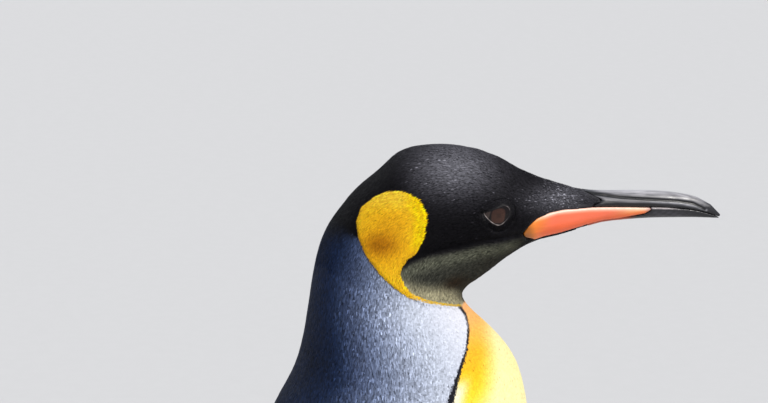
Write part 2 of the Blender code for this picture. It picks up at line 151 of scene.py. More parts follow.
TAIL_ROOT = (-104.0, 732.0)
TAIL_TIP = (-168.0, 856.0)

# Shades along the body, as (place, red, green, blue) in display values from 0 to 255.
# Round the neck, the darkening towards the back is partly the back's own dark slate and partly painted
# shade on the side away from the light.
NECK_TONES = [
    (0.00, 14, 24, 44), (0.10, 24, 37, 64), (0.22, 60, 71, 98), (0.34, 98, 109, 135),
    (0.47, 144, 153, 174), (0.62, 180, 187, 202), (0.78, 198, 202, 214), (0.92, 214, 215, 223),
]
BACK_TONES = [(0.00, 60, 68, 84), (0.35, 76, 84, 102), (0.60, 98, 106, 124), (0.85, 142, 148, 162)]
CHEST_TONES = [
    (104, 244, 176, 124), (117, 240, 178, 98), (133, 238, 172, 40), (148, 241, 186, 30),
    (160, 243, 208, 48), (178, 243, 218, 104), (205, 240, 228, 164), (260, 234, 230, 210),
    (330, 228, 226, 221),
]


def measures(points):
    """Frame metres to side, forward and drop in millimetres."""
    points = np.asarray(points) * 1000
    return points[:, 0], CROWN_PLACE - points[:, 1], CROWN_HEIGHT - points[:, 2]


def place(side, forward, drop):
    """Side, forward and drop in millimetres to frame metres."""
    return np.stack(np.broadcast_arrays(side, CROWN_PLACE - forward, CROWN_HEIGHT - drop), -1) * 0.001


def smoothstep(low, high, value):
    """A soft step from 0 at low to 1 at high."""
    t = np.clip((value - low) / (high - low), 0, 1)
    return t * t * (3 - 2 * t)


def between(value, rising, falling):
    """1 between two soft steps, each given as where it starts and where it ends."""
    return smoothstep(*rising, value) * smoothstep(*falling, value)


def swell(off, reach, power=2):
    """1 where off is 0, falling softly away over a reach."""
    return np.exp(-((off / reach) ** power))


def mound(forward, drop, centre, reach):
    """A soft round share that is 1 at its centre."""
    return np.exp(-(((forward - centre[0]) / reach[0]) ** 2) - ((drop - centre[1]) / reach[1]) ** 2)


def read_line(line, at):
    """The second number of a line's points, read at values of the first."""
    return np.interp(at, *np.array(line).T)


def mix(first, second, share):
    """The first colour, with a share of the second for each point."""
    share = np.asarray(share)[..., None]
    return first * (1 - share) + second * share


def display(colour):
    """A setting's colour as three display values from 0 to 1."""
    return np.asarray(colour, float)[:3]


def shade(red, green, blue):
    """A colour in display values from 0 to 1, from values up to 255."""
    return np.array((red, green, blue)) / 255


def linear(colour):
    """Display values from 0 to 1 as the linear values that a shader takes."""
    colour = np.clip(colour, 0, 1)
    return np.where(colour < 0.04045, colour / 12.92, ((colour + 0.055) / 1.055) ** 2.4)


def ramp(value, tones):
    """The colour that a list of shades has at each value."""
    table = np.array(tones, float)
    return np.stack([np.interp(value, table[:, 0], table[:, i]) for i in (1, 2, 3)], -1) / 255


def line_distance(line, forward, drop):
    """Distance from places to a line of points."""
    best = np.full(len(forward), 1e9)
    for (f0, d0), (f1, d1) in zip(line, line[1:]):
        run = (f1 - f0) ** 2 + (d1 - d0) ** 2
        t = np.clip(((forward - f0) * (f1 - f0) + (drop - d0) * (d1 - d0)) / run, 0, 1)
        gap = np.hypot(forward - f0 - t * (f1 - f0), drop - d0 - t * (d1 - d0))
        best = np.minimum(best, gap)
    return best


def inward_distance(outline, forward, drop):
    """Distance from places to a closed outline, above 0 inside it."""
    closed = [*outline, outline[0]]
    inside = np.zeros(len(forward), bool)
    for (f0, d0), (f1, d1) in zip(closed, closed[1:]):
        if d0 == d1:
            continue
        crosses = (drop < d0) != (drop < d1)
        inside ^= crosses & (forward < f0 + (drop - d0) * (f1 - f0) / (d1 - d0))
    return np.where(inside, 1, -1) * line_distance(closed, forward, drop)


def rounded(points, count, closed=False):
    """A smooth curve through points, as count places."""
    rows = np.array(points, float)
    if closed:
        rows = np.concatenate([rows[-2:], rows, rows[:3]])
    else:
        rows = np.concatenate([[2 * rows[0] - rows[1]], rows, [2 * rows[-1] - rows[-2]]])
    spans = len(rows) - 3 - (1 if closed else 0)
    start = 1 if closed else 0
    curve = []
    for t in np.linspace(0, spans, count, endpoint=not closed):
        i = min(int(t), spans - 1)
        s = t - i
        a, b, c, e = rows[start + i : start + i + 4]
        bend = (2 * a - 5 * b + 4 * c - e) * s**2 + (3 * b - a - 3 * c + e) * s**3
        curve.append(0.5 * (2 * b + (c - a) * s + bend))
    return np.array(curve)


# Single shades, beside the colours that the settings hold.
# Painted highlight on the front of the chest.
CHEST_FRONT_HIGHLIGHT = shade(244, 236, 186)
LINE_CREAM = shade(240, 234, 218)
# Painted shadow in the notch under the chin.
NOTCH_SHADOW_BROWN = shade(40, 31, 22)
# Painted highlight on the golden patch's top.
PATCH_TOP_HIGHLIGHT = shade(255, 208, 66)
WING_WHITE = shade(236, 235, 233)
LEG_WHITE = shade(226, 224, 220)
EYE_RING = shade(18, 13, 13)
EYE_CORNER = shade(62, 52, 48)
# Painted highlight along the bill's glossy ridge.
RIDGE_HIGHLIGHT = shade(206, 204, 208)
STRIP_GREY = shade(168, 168, 173)
# Grey of the strip below the bill's groove.
UNDER_GROOVE_GREY = shade(160, 158, 162)
MOUTH_BLACK = shade(14, 12, 15)
# Painted shade in the bill's groove.
GROOVE_SHADE = shade(5, 5, 7)
PLATE_GLOW = shade(196, 84, 46)
# Painted highlight along the lower bill's lip.
LIP_HIGHLIGHT = shade(196, 186, 186)
# Mottled painted highlights on the lower bill.
MOTTLED_HIGHLIGHT = shade(96, 94, 104)
PLATE_ORANGE = shade(246, 132, 40)
PLATE_FRONT = shade(255, 178, 112)
# Painted highlight along the plate's top edge.
PLATE_TOP_HIGHLIGHT = shade(255, 222, 204)
PLATE_RED = shade(250, 100, 40)
PLATE_AMBER = shade(150, 86, 8)
PLATE_POINT = shade(170, 130, 124)


# ---------------------------------------------------------------------------------------------
# Settings
# ---------------------------------------------------------------------------------------------

def length_setting(label, text, value):
    """A length in metres."""
    return FloatProperty(name=label, description=text, default=value, min=0.0, unit="LENGTH", precision=5)


def colour_setting(label, text, red, green, blue):
    """A colour as it shows, from values up to 255."""
    return FloatVectorProperty(
        name=label, description=text, default=(red / 255, green / 255, blue / 255), min=0.0, max=1.0,
        size=3, subtype="COLOR_GAMMA",
    )


def feather_settings(region, spacing, length, width, depth=None):
    """A group of settings for the feathers of one region, in metres."""
    notes = {
        "spacing": length_setting("Spacing", f"Least distance between feathers on the {region}", spacing),
        "length": length_setting("Length", f"Length of a feather's vane on the {region}", length),
        "width": length_setting("Width", f"Width of a feather's vane on the {region}", width),
    }
    if depth is not None:
        text = f"How far the {region}'s skin lies under the coat's tips"
        notes["depth"] = length_setting("Depth", text, depth)
    title = region.title().replace(" ", "")
    return type(f"Penguin{title}Feathers", (bpy.types.PropertyGroup,), {"__annotations__": notes})


PenguinHeadFeathers = feather_settings("head", 0.00064, 0.0038, 0.00094, 0.0010)
PenguinPatchFeathers = feather_settings("golden patch", 0.00042, 0.0046, 0.00050)
PenguinNeckFeathers = feather_settings("neck", 0.00080, 0.0056, 0.0016, 0.0011)
PenguinTrunkFeathers = feather_settings("trunk", 0.00165, 0.0100, 0.0042, 0.0016)
PenguinWingFeathers = feather_settings("wing", 0.00135, 0.0046, 0.0017, 0.0008)
PenguinLegFeathers = feather_settings("leg", 0.0015, 0.0075, 0.0019, 0.0026)
PenguinTailFeathers = feather_settings("tail", 0.0018, 0.0110, 0.0026, 0.0036)


class PenguinColours(bpy.types.PropertyGroup):
    hood: colour_setting("Hood", "Black of the head", 10, 9, 12)
    # Sheen: the grey of the painted highlight on the crown, lore and cheek.
    sheen: colour_setting("Sheen", "Grey of the crown", 126, 126, 134)
    # The throat's olive and the band's khaki are partly the feathers' own colour and partly painted light
    # reflected from the yellow chest.
    throat: colour_setting("Throat", "Olive of the throat", 76, 77, 66)
    band: colour_setting("Throat band", "Pale band above the yellow line", 150, 144, 116)
    gold: colour_setting("Gold", "The patch behind the cheek", 252, 190, 26)
    amber: colour_setting("Amber", "Deeper colour inside the patch", 176, 112, 0)
    # Lemon: the colour of a painted highlight along the patch's front rim.
    lemon: colour_setting("Lemon", "The patch's front rim", 255, 206, 0)
    throat_line: colour_setting("Throat line", "Yellow line that runs to the throat", 206, 168, 28)
    line: colour_setting("Black line", "The line between the side and the front", 24, 25, 32)
    wing: colour_setting("Wing", "Outer face of the flipper", 62, 70, 90)
    tail: colour_setting("Tail", "Tail quills", 34, 34, 38)
    foot: colour_setting("Foot", "Scaly skin of the foot", 46, 44, 46)
    # Eyelid: the pale rim, also used for a painted highlight at the front top.
    lid: colour_setting("Eyelid", "Bare rim of the eyelids", 168, 156, 152)
    iris: colour_setting("Iris", "Brown of the eye", 59, 39, 32)
    plate: colour_setting("Bill plate", "Coral of the lower bill's plates", 246, 114, 78)
    horn: colour_setting("Bill horn", "Black of the bill", 30, 30, 34)
    claw: colour_setting("Claw", "Dark horn of the claws", 34, 31, 30)


class PenguinStage(bpy.types.PropertyGroup):
    key: FloatProperty(name="Key light", description="Strength of the main light", default=3.0, min=0.0)
    fill: FloatProperty(name="Fill light", description="Strength of the light behind", default=0.9, min=0.0)
    sky: FloatProperty(name="Surround", description="Strength of the pale surround", default=0.62, min=0.0)
    lens: FloatProperty(name="Lens", description="Focal length", default=208.33, min=1.0, unit="CAMERA")
    distance: length_setting("Distance", "From the camera to the neck", 3.0)


class PenguinSettings(bpy.types.PropertyGroup):
    cell: length_setting("Skin cell", "Size of the skin's faces", 0.0033)
    bill_cell: length_setting("Bill cell", "Size of the bill's faces", 0.00055)
    seed: IntProperty(name="Seed", description="Starts the scatter of the feathers", default=7)
    head: PointerProperty(type=PenguinHeadFeathers)
    patch: PointerProperty(type=PenguinPatchFeathers)
    neck: PointerProperty(type=PenguinNeckFeathers)
    trunk: PointerProperty(type=PenguinTrunkFeathers)
    wing: PointerProperty(type=PenguinWingFeathers)
    leg: PointerProperty(type=PenguinLegFeathers)
    tail: PointerProperty(type=PenguinTailFeathers)
    colours: PointerProperty(type=PenguinColours)
    stage: PointerProperty(type=PenguinStage)


def settings():
    """The user's settings."""
    return bpy.context.scene.king_penguin


# ---------------------------------------------------------------------------------------------
# Meshes as arrays
# ---------------------------------------------------------------------------------------------

def read_mesh(mesh):
    """Points and triangles of a mesh."""
    points = np.zeros(len(mesh.vertices) * 3, np.float32)
    mesh.vertices.foreach_get("co", points)
    mesh.calc_loop_triangles()
    triangles = np.zeros(len(mesh.loop_triangles) * 3, np.int32)
    mesh.loop_triangles.foreach_get("vertices", triangles)
    return points.reshape(-1, 3).astype(float), triangles.reshape(-1, 3)


def write_mesh(name, points, faces):
    """A mesh from points and faces that all have the same number of corners."""
    corners = faces.shape[1]
    mesh = bpy.data.meshes.new(name)
    mesh.vertices.add(len(points))
    mesh.vertices.foreach_set("co", points.astype(np.float32).ravel())
    mesh.loops.add(faces.size)
    mesh.loops.foreach_set("vertex_index", faces.astype(np.int32).ravel())
    mesh.polygons.add(len(faces))
    mesh.polygons.foreach_set("loop_start", np.arange(0, faces.size, corners, dtype=np.int32))
    mesh.update(calc_edges=True)
    return mesh


def read_vectors(collection, field, width=3):
    """One field of all items as rows of numbers."""
    values = np.zeros(len(collection) * width, np.float32)
    collection.foreach_get(field, values)
    return values.reshape(-1, width).astype(float)


def paint(mesh, colours):
    """Stores display colours at the points as the linear attribute that the materials read."""
    values = np.ones((len(mesh.vertices), 4), np.float32)
    values[:, :3] = linear(colours)
    attribute = mesh.attributes.new("markings", "FLOAT_COLOR", "POINT")
    attribute.data.foreach_set("color", values.ravel())


def solid_copy(node, grow=0.0):
    """A node's mesh with its doubled points merged, swollen by grow."""
    bm = bmesh.new()
    bm.from_mesh(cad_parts[node].data)
    bmesh.ops.remove_doubles(bm, verts=bm.verts, dist=1e-6)
    bm.normal_update()
    if grow:
        moves = [vertex.normal * grow for vertex in bm.verts]
        for vertex, move in zip(bm.verts, moves):
            vertex.co += move
    mesh = bpy.data.meshes.new(f"{node}_copy")
    bm.to_mesh(mesh)
    bm.free()
    return mesh


def evaluated(mesh, set_modifier, kind):
    """The mesh as one modifier leaves it."""
    helper = bpy.data.objects.new("helper", mesh)
    bpy.context.scene.collection.objects.link(helper)
    set_modifier(helper.modifiers.new("work", kind))
    graph = bpy.context.evaluated_depsgraph_get()
    result = bpy.data.meshes.new_from_object(helper.evaluated_get(graph), depsgraph=graph)
    bpy.data.objects.remove(helper)
    return result


def remeshed(nodes, cell, grow):
    """One closed mesh of even cells round some nodes."""
    bm = bmesh.new()
    for node in nodes:
        copy = solid_copy(node, grow)
        bm.from_mesh(copy)
        bpy.data.meshes.remove(copy)
    mesh = bpy.data.meshes.new("joined")
    bm.to_mesh(mesh)
    bm.free()

    def even_cells(modifier):
        modifier.mode = "VOXEL"
        modifier.voxel_size = cell
        modifier.adaptivity = 0.0

    result = evaluated(mesh, even_cells, "REMESH")
    bpy.data.meshes.remove(mesh)
    return result


class Neighbours:
    """Each point's mean over its neighbours, for smoothing."""

    def __init__(self, mesh):
        edges = np.zeros(len(mesh.edges) * 2, np.int32)
        mesh.edges.foreach_get("vertices", edges)
        edges = edges.reshape(-1, 2)
        self.count = len(mesh.vertices)
        self.a = np.concatenate([edges[:, 0], edges[:, 1]])
        self.b = np.concatenate([edges[:, 1], edges[:, 0]])
        self.links = np.maximum(np.bincount(self.a, minlength=self.count), 1)

    def mean(self, values):
        """The mean over each point's neighbours."""
        if values.ndim == 1:
            return np.bincount(self.a, values[self.b], self.count) / self.links
        return np.stack([self.mean(values[:, i]) for i in range(values.shape[1])], -1)

    def smooth(self, values, share, times):
        """Moves values a share of the way to their neighbours' mean, some times over."""
        share = np.asarray(share, float)
        if values.ndim > 1 and share.ndim:
            share = share[:, None]
        for _ in range(times):
            values = values + share * (self.mean(values) - values)
        return values


def add_piece(mesh, name, material, slot, *nodes):
    """Puts a mesh in the scene as a piece that stands for some nodes."""
    mesh.materials.append(material)
    piece = bpy.data.objects.new(name, mesh)
    bpy.context.scene.collection.objects.link(piece)
    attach(piece, "root")
    if nodes:
        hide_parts(*nodes)


def set_points(mesh, points):
    """Moves a mesh's points, and gives the directions that it faces at them."""
    mesh.vertices.foreach_set("co", points.astype(np.float32).ravel())
    mesh.update()
    return read_vectors(mesh.vertex_normals, "vector")


def ring_faces(rows, count, sign, closed):
    """Quads between rings of points, facing out on the side that sign says."""
    last = rows if closed else rows - 1
    i, j = np.meshgrid(np.arange(last), np.arange(count), indexing="ij")
    corner = i * count + j
    onward = i * count + (j + 1) % count
    up = ((i + 1) % rows) * count + j
    up_onward = ((i + 1) % rows) * count + (j + 1) % count
    order = (corner, onward, up_onward, up) if sign < 0 else (up, up_onward, onward, corner)
    return np.stack(order, -1).reshape(-1, 4)


def halved(quads):
    """Each quad as two triangles."""
    return quads[:, (0, 1, 2, 0, 2, 3)].reshape(-1, 3)


def kept(keep, *arrays):
    """The chosen rows of some arrays."""
    return [array[keep] for array in arrays]


class Solids:
    """The nodes' own surfaces, to measure from."""

    def __init__(self, nodes):
        points, triangles, owners = [], [], []
        total = 0
        for index, node in enumerate(nodes):
            mesh = solid_copy(node)
            own_points, own_triangles = read_mesh(mesh)
            bpy.data.meshes.remove(mesh)
            points.append(own_points)
            triangles.append(own_triangles + total)
            owners.append(np.full(len(own_triangles), index))
            total += len(own_points)
        self.owners = np.concatenate(owners)
        points = np.concatenate(points)
        triangles = np.concatenate(triangles)
        self.tree = BVHTree.FromPolygons(points.tolist(), triangles.tolist())

    def nearest(self, points):
        """The nearest place on the solids, its distance and the index of its node."""
        found = [self.tree.find_nearest(Vector(p)) for p in points]
        spots = np.array([hit[0] for hit in found])
        gaps = np.array([hit[3] for hit in found])
        return spots, gaps, self.owners[[hit[2] for hit in found]]

    def distance(self, points):
        """How far points lie from the solids."""
        return self.nearest(points)[1]


# ---------------------------------------------------------------------------------------------
# Markings
# ---------------------------------------------------------------------------------------------

def round_the_body(forward, drop):
    """From 0 on the line of the back to 1 on the line of the front."""
    back = read_line(BACK_LINE, drop)
    front = read_line(FRONT_LINE, drop)
    return np.clip((forward - back) / (front - back), 0, 1)


def on_throat_line(forward, drop):
    """1 on the yellow line that leads from the patch to the throat."""
    return smoothstep(-28, -18, forward) * smoothstep(86, 92, drop)


def below_cheek(forward, drop):
    """How far places lie below the fold under the cheek."""
    return drop - read_line(CHEEK_FOLD, forward)


def chest_colours(drop, ahead):
    """Orange under the throat, then gold, lemon and white, paler towards the front as a painted highlight,
    with cream beside the black line.
    """
    inner = np.interp(drop, (125, 155), (5, 14))
    # Painted highlight: the chest turns paler towards the front, where the light falls on it.
    pale = smoothstep(0, 18, ahead - inner) * between(drop, (104, 130), (250, 180))
    chest = mix(ramp(drop, CHEST_TONES), CHEST_FRONT_HIGHLIGHT, 0.85 * pale)
    beside_line = smoothstep(13, 4, ahead) * between(drop, (144, 158), (260, 200))
    return mix(chest, LINE_CREAM, 0.85 * beside_line)


def throat_share(side, forward, drop):
    """How much of the throat's olive shows: below the cheek's fold, most in a painted highlight on the
    swelling under it, and less along the chin's middle, partly as painted shade.
    """
    below = below_cheek(forward, drop)
    share = smoothstep(0.5, 4.5, below) * smoothstep(62, 46, forward)
    # Painted highlight: a brighter olive band on the swelling below the fold.
    share = share * (0.62 + 0.5 * swell(below - 7.5, 5))
    # Less olive along the chin's middle: partly its darker feathers, partly painted shade on the underside.
    return share * (0.35 + 0.65 * smoothstep(4, 16, np.abs(side)))


def hood_colours(side, forward, drop):
    """Black with a painted grey sheen on the crown, lore and cheek, and an olive throat with a pale band at
    its foot, both partly painted light reflected from the chest.
    """
    colours = settings().colours
    hood = mix(display(colours.hood), display(colours.throat), throat_share(side, forward, drop))
    above_band = -inward_distance([*PALE_BAND, (40, 112), (-60, 112)], forward, drop)
    # The pale band fades towards the chin's middle, partly as painted shade.
    band = smoothstep(3.5, -8.0, above_band) * smoothstep(0, 12, np.abs(side))
    hood = mix(hood, display(colours.band), band)
    # Painted shadow in the notch under the chin's overhang.
    hood = mix(hood, NOTCH_SHADOW_BROWN, 0.95 * mound(forward, drop, *THROAT_NOTCH_SHADOW))
    # Painted highlight: a grey sheen on the crown, the lore and the cheek.
    grey = 0.75 * mound(forward, drop, *CROWN_SHEEN) * smoothstep(-44, -20, forward)
    grey = grey + 0.62 * mound(forward, drop, *LORE_SHEEN)
    grey = grey + 0.12 * mound(forward, drop, *CHEEK_SHEEN)
    return mix(hood, display(colours.sheen), np.clip(grey, 0, 1))


def patch_colours(forward, drop, inside):
    """Gold with a painted highlight at the top, amber inside, a lemon painted highlight along the front
    rim, and duller along the line.
    """
    colours = settings().colours
    # Painted highlight on the patch's top.
    gold = mix(display(colours.gold), PATCH_TOP_HIGHLIGHT, 0.6 * smoothstep(42, 30, drop))
    deep = mound(forward, drop, *AMBER_HEART) + 0.3 * mound(forward, drop, *AMBER_ABOVE)
    deep = deep + 0.12 * between(drop, (52, 66), (86, 74))
    gold = mix(gold, display(colours.amber), np.clip(deep, 0, 1))
    # Painted highlight: lemon along the front rim.
    rim = smoothstep(-30, -18, forward) * smoothstep(9, 3, inside) * smoothstep(68, 60, drop)
    gold = mix(gold, display(colours.lemon), rim)
    to_throat = smoothstep(-24, -4, forward) * smoothstep(90, 96, drop)
    return mix(gold, display(colours.throat_line), 0.85 * to_throat)


def body_colours(points, throat_line=True):
    """The plumage colours of the head, neck and trunk, and how strongly feathers differ there."""
    side, forward, drop = measures(points)
    around = round_the_body(forward, drop) - 0.07 * mound(forward, drop, *NAPE_SHADOW)
    ahead = inward_distance(FRONT_ZONE, forward, drop)

    slate = mix(ramp(around, NECK_TONES), ramp(around, BACK_TONES), smoothstep(165, 300, drop))
    colour = mix(slate, chest_colours(drop, ahead), smoothstep(-0.4, 0.4, ahead))
    speckle = np.where(ahead > 0, 0.025, 0.02 + 0.13 * smoothstep(0.85, 0.35, around))
    off_line = line_distance(BLACK_LINE, forward, drop) - read_line(BLACK_WIDTH, drop) / 2
    colour = mix(display(settings().colours.line), colour, smoothstep(-0.5, 0.6, off_line))

    blur = 0.8 + 9 * smoothstep(-58, -70, forward)
    hood_share = smoothstep(-1, 1, inward_distance(HOOD, forward, drop) / blur)
    colour = mix(colour, hood_colours(side, forward, drop), hood_share)
    speckle = speckle * (1 - hood_share) + 0.13 * hood_share

    inside = inward_distance(PATCH, forward, drop)
    share = smoothstep(-0.4, 0.4, inside)
    if not throat_line:
        share = share * (1 - on_throat_line(forward, drop))
    return mix(colour, patch_colours(forward, drop, inside), share), speckle


def plain_body_colours(points, outward):
    """The colours of feathers beside the golden patch, whose own feathers carry the throat's line."""
    return body_colours(points, throat_line=False)


def wing_colours(points, normals):
    """Slate outside with a black leading edge, white inside with a dark margin and tip."""
    colours = settings().colours
    side, forward, drop = measures(points)
    down = np.clip((drop - WING_TOP) / WING_LENGTH, 0, 1)
    ahead = forward - (-38 - 41 * down)
    lead = read_line(WING_LEAD, down)
    black = display(colours.line)
    slate = mix(display(colours.wing), black, 0.85 * smoothstep(lead - 9, lead - 2, ahead))
    slate = mix(slate, black, 0.7 * smoothstep(0.86, 1.0, down))
    dark = smoothstep(lead - 10, lead - 4, ahead) * smoothstep(0.05, 0.3, down)
    dark = np.maximum(dark, smoothstep(0.84, 0.93, down))
    outward = smoothstep(-0.25, 0.25, normals[:, 0] * np.sign(side))
    return mix(mix(WING_WHITE, black, dark), slate, outward), np.full(len(down), 0.12)


def leg_colours(points, normals):
    """White at the top of the leg, dark over the ankle."""
    drop = measures(points)[2]
    dark = smoothstep(772, 805, drop)
    return mix(LEG_WHITE, display(settings().colours.tail), dark), np.full(len(drop), 0.08)


def tail_colours(points, normals):
    """The dark of the quills all over."""
    dark = display(settings().colours.tail)
    return np.broadcast_to(dark, (len(points), 3)), np.full(len(points), 0.12)


# ---------------------------------------------------------------------------------------------
# Materials
# ---------------------------------------------------------------------------------------------

def new_material(name):
    """A material, its nodes and its shader."""
    material = bpy.data.materials.new(name)
    material.use_nodes = True
    return material, material.node_tree, material.node_tree.nodes["Principled BSDF"]


def noise(tree, scale, detail=4.0, stretch=(1, 1, 1)):
    """Noise over the object's own place, stretched along its axes."""
    coordinates = tree.nodes.new("ShaderNodeTexCoord")
    mapping = tree.nodes.new("ShaderNodeMapping")
    mapping.inputs["Scale"].default_value = stretch
    texture = tree.nodes.new("ShaderNodeTexNoise")
    texture.inputs["Scale"].default_value = scale
    texture.inputs["Detail"].default_value = detail
    tree.links.new(coordinates.outputs["Object"], mapping.inputs["Vector"])
    tree.links.new(mapping.outputs["Vector"], texture.inputs["Vector"])
    return texture.outputs["Fac"]


def spread(tree, value, low, high):
    """A noise value, which mostly lies from 0.3 to 0.7, spread between two numbers."""
    remap = tree.nodes.new("ShaderNodeMapRange")
    remap.inputs["From Min"].default_value = 0.3
    remap.inputs["From Max"].default_value = 0.7
    remap.inputs["To Min"].default_value = low
    remap.inputs["To Max"].default_value = high
    tree.links.new(value, remap.inputs["Value"])
    return remap.outputs["Result"]


def marked_material(name, roughness, specular, grain, grain_share, bump=0.0, stretch=(1, 1, 1)):
    """A material that takes the markings, varied by a fine grain that also roughens it."""
    material, tree, shader = new_material(name)
    marks = tree.nodes.new("ShaderNodeAttribute")
    marks.attribute_name = "markings"
    fine = noise(tree, grain, stretch=stretch)
    tone = spread(tree, fine, 1 - grain_share, 1 + grain_share)
    scale = tree.nodes.new("ShaderNodeVectorMath")
    scale.operation = "SCALE"
    tree.links.new(marks.outputs["Color"], scale.inputs[0])
    tree.links.new(tone, scale.inputs["Scale"])
    tree.links.new(scale.outputs["Vector"], shader.inputs["Base Color"])
    rough = spread(tree, fine, roughness[0], roughness[1])
    tree.links.new(rough, shader.inputs["Roughness"])
    shader.inputs["Specular IOR Level"].default_value = specular
    if bump:
        relief = tree.nodes.new("ShaderNodeBump")
        relief.inputs["Strength"].default_value = 0.5
        relief.inputs["Distance"].default_value = bump
        tree.links.new(fine, relief.inputs["Height"])
        tree.links.new(relief.outputs["Normal"], shader.inputs["Normal"])
    return material, shader


def feather_material(name, roughness, specular, sheen=0.0):
    """A material for one region's feathers."""
    material, shader = marked_material(name, roughness, specular, grain=900.0, grain_share=0.10)
    shader.inputs["Sheen Weight"].default_value = sheen
    shader.inputs["Sheen Roughness"].default_value = 0.4
    return material


# ---------------------------------------------------------------------------------------------
# Skin
# ---------------------------------------------------------------------------------------------

# What the making of the skin leaves for later: the feet's furrows, the fit of the head's side, the
# ground that the feathers grow from, and the nodes that its points belong to.
made = {}

FLESH_OVERLAP = 0.0006      # the flesh is swollen by this, so that its pieces join
TAIL_COAT = 0.0115
SMOOTH_TIMES = 60
LARGEST_SHIFT = 0.004       # how far the smoothed skin may be brought back to the solids
BARE_EDGE = (0.0065, 0.0010)        # from the bill and the eyes: where the coat thins, and where it ends
BILL_EDGE = (0.0012, 0.0006)        # from the bill: where the skin turns in, and where it meets the bill
BILL_CORNER = 52
# Where the skin's faces are cut finer: node, from how far forward, number of cuts, lowest facing.
FINER_SKIN = [("foot", -1000, 3, -0.5), ("head", -62, 1, -2.0), ("head", 22, 1, -2.0)]

SCALE_CELL = 0.0031
SCALE_EDGE = 0.0013
SCALE_HEIGHT = 0.00042
SCALE_SEED = 11
SCALES_AT_ONCE = 2000       # points measured at one time, to save memory


def coat_depths(owners, points):
    """How far the skin lies under the coat's tips, in metres."""
    regions = [name.split("_")[0] for name in FLESH]
    by_node = [0.0 if region == "foot" else getattr(settings(), region).depth for region in regions]
    depth = np.array(by_node)[owners]
    on_tail = owners == FLESH.index("tail")
    along = np.clip(tail_place(points), 0, 1)
    return np.where(on_tail, np.minimum(depth, TAIL_COAT * (1 - 0.9 * along)), depth)


def tail_place(points):
    """How far along the tail each point is, from 0 at the root to 1 at the tip."""
    root, tip = place(0, *TAIL_ROOT), place(0, *TAIL_TIP)
    run = tip - root
    return (points - root) @ run / (run @ run)


def head_forms(points):
    """Swellings and hollows of the head beside its plain solid, in metres along the normal."""
    side, forward, drop = measures(points)
    wide = smoothstep(12, 24, np.abs(side))
    height = -1.0 * mound(forward, drop, *EYE_HOLLOW) + 0.7 * mound(forward, drop, *BROW)
    height = height + 0.5 * mound(forward, drop, *TEMPLE)
    below = below_cheek(forward, drop)
    fold = swell(below, 2.6) * smoothstep(-30, -5, forward) * smoothstep(62, 48, forward)
    cushion = swell(below - 9, 6) * smoothstep(-20, 5, forward) * smoothstep(56, 40, forward)
    height = height - 1.5 * fold + 0.6 * cushion
    return height * wide * 0.001


def refine(mesh, chosen_points, cuts, lowest_facing):
    """Cuts the faces finer whose points are all chosen, unless they face down further than a limit."""
    bm = bmesh.new()
    bm.from_mesh(mesh)
    bm.verts.ensure_lookup_table()
    chosen = set()
    for face in bm.faces:
        if face.normal.z > lowest_facing and all(chosen_points[v.index] for v in face.verts):
            chosen.update(face.edges)
    bmesh.ops.subdivide_edges(bm, edges=list(chosen), cuts=cuts, use_grid_fill=True)
    bmesh.ops.triangulate(bm, faces=[f for f in bm.faces if len(f.verts) > 4])
    bm.to_mesh(mesh)
    bm.free()


def foot_scales(points):
    """Heights of the feet's pebbly scales, in metres, and how deep in a furrow each point lies."""
    rng = np.random.default_rng(SCALE_SEED)
    height = np.zeros(len(points))
    furrow = np.zeros(len(points))
    for sign in SIDES.values():
        own = np.nonzero(points[:, 0] * sign > 0)[0]
        seeds = []
        taken = set()
        for index in rng.permutation(own):
            cell = tuple((points[index] / SCALE_CELL).astype(int))
            if cell not in taken:
                taken.add(cell)
                seeds.append(points[index])
        seeds = np.array(seeds)
        for part in np.array_split(own, max(1, len(own) // SCALES_AT_ONCE)):
            gaps = np.linalg.norm(points[part][:, None] - seeds[None], axis=2)
            two = np.partition(gaps, 1, axis=1)[:, :2]
            edge = np.clip((two[:, 1] - two[:, 0]) / SCALE_EDGE, 0, 1)
            height[part] = SCALE_HEIGHT * (smoothstep(0, 1, edge) - 0.6)
            furrow[part] = 1 - edge
    return height, furrow


def joined_flesh(solids):
    """The flesh as one mesh of even cells, cut finer on the head and the feet."""
    mesh = remeshed(FLESH, settings().cell, FLESH_OVERLAP)
    for part, from_forward, cuts, lowest_facing in FINER_SKIN:
        points, _ = read_mesh(mesh)
        names = np.array(FLESH)[solids.nearest(points)[2]]
        chosen = np.char.startswith(names, part) & (measures(points)[1] > from_forward)
        refine(mesh, chosen, cuts, lowest_facing)
    return mesh


def smoothing_share(points, names, hard_distance, around):
    """How much each point is smoothed: least beside the bill, the eyes, the throat's fold and the claws."""
    _, forward, drop = measures(points)
    plain = smoothstep(0.002, 0.014, hard_distance) * (1 - mound(forward, drop, *THROAT_FOLD))
    share = np.select(
        [names == "head", names == "neck", np.char.startswith(names, "foot"), names == "trunk"],
        [0.04 + 0.5 * plain, 0.1 + 0.3 * plain, 0.35, 0.5], 0.12,
    )
    share = around.smooth(share, 0.5, 10)
    return share * (1 - 0.9 * smoothstep(0.014, 0.005, Solids(CLAWS).distance(points)))


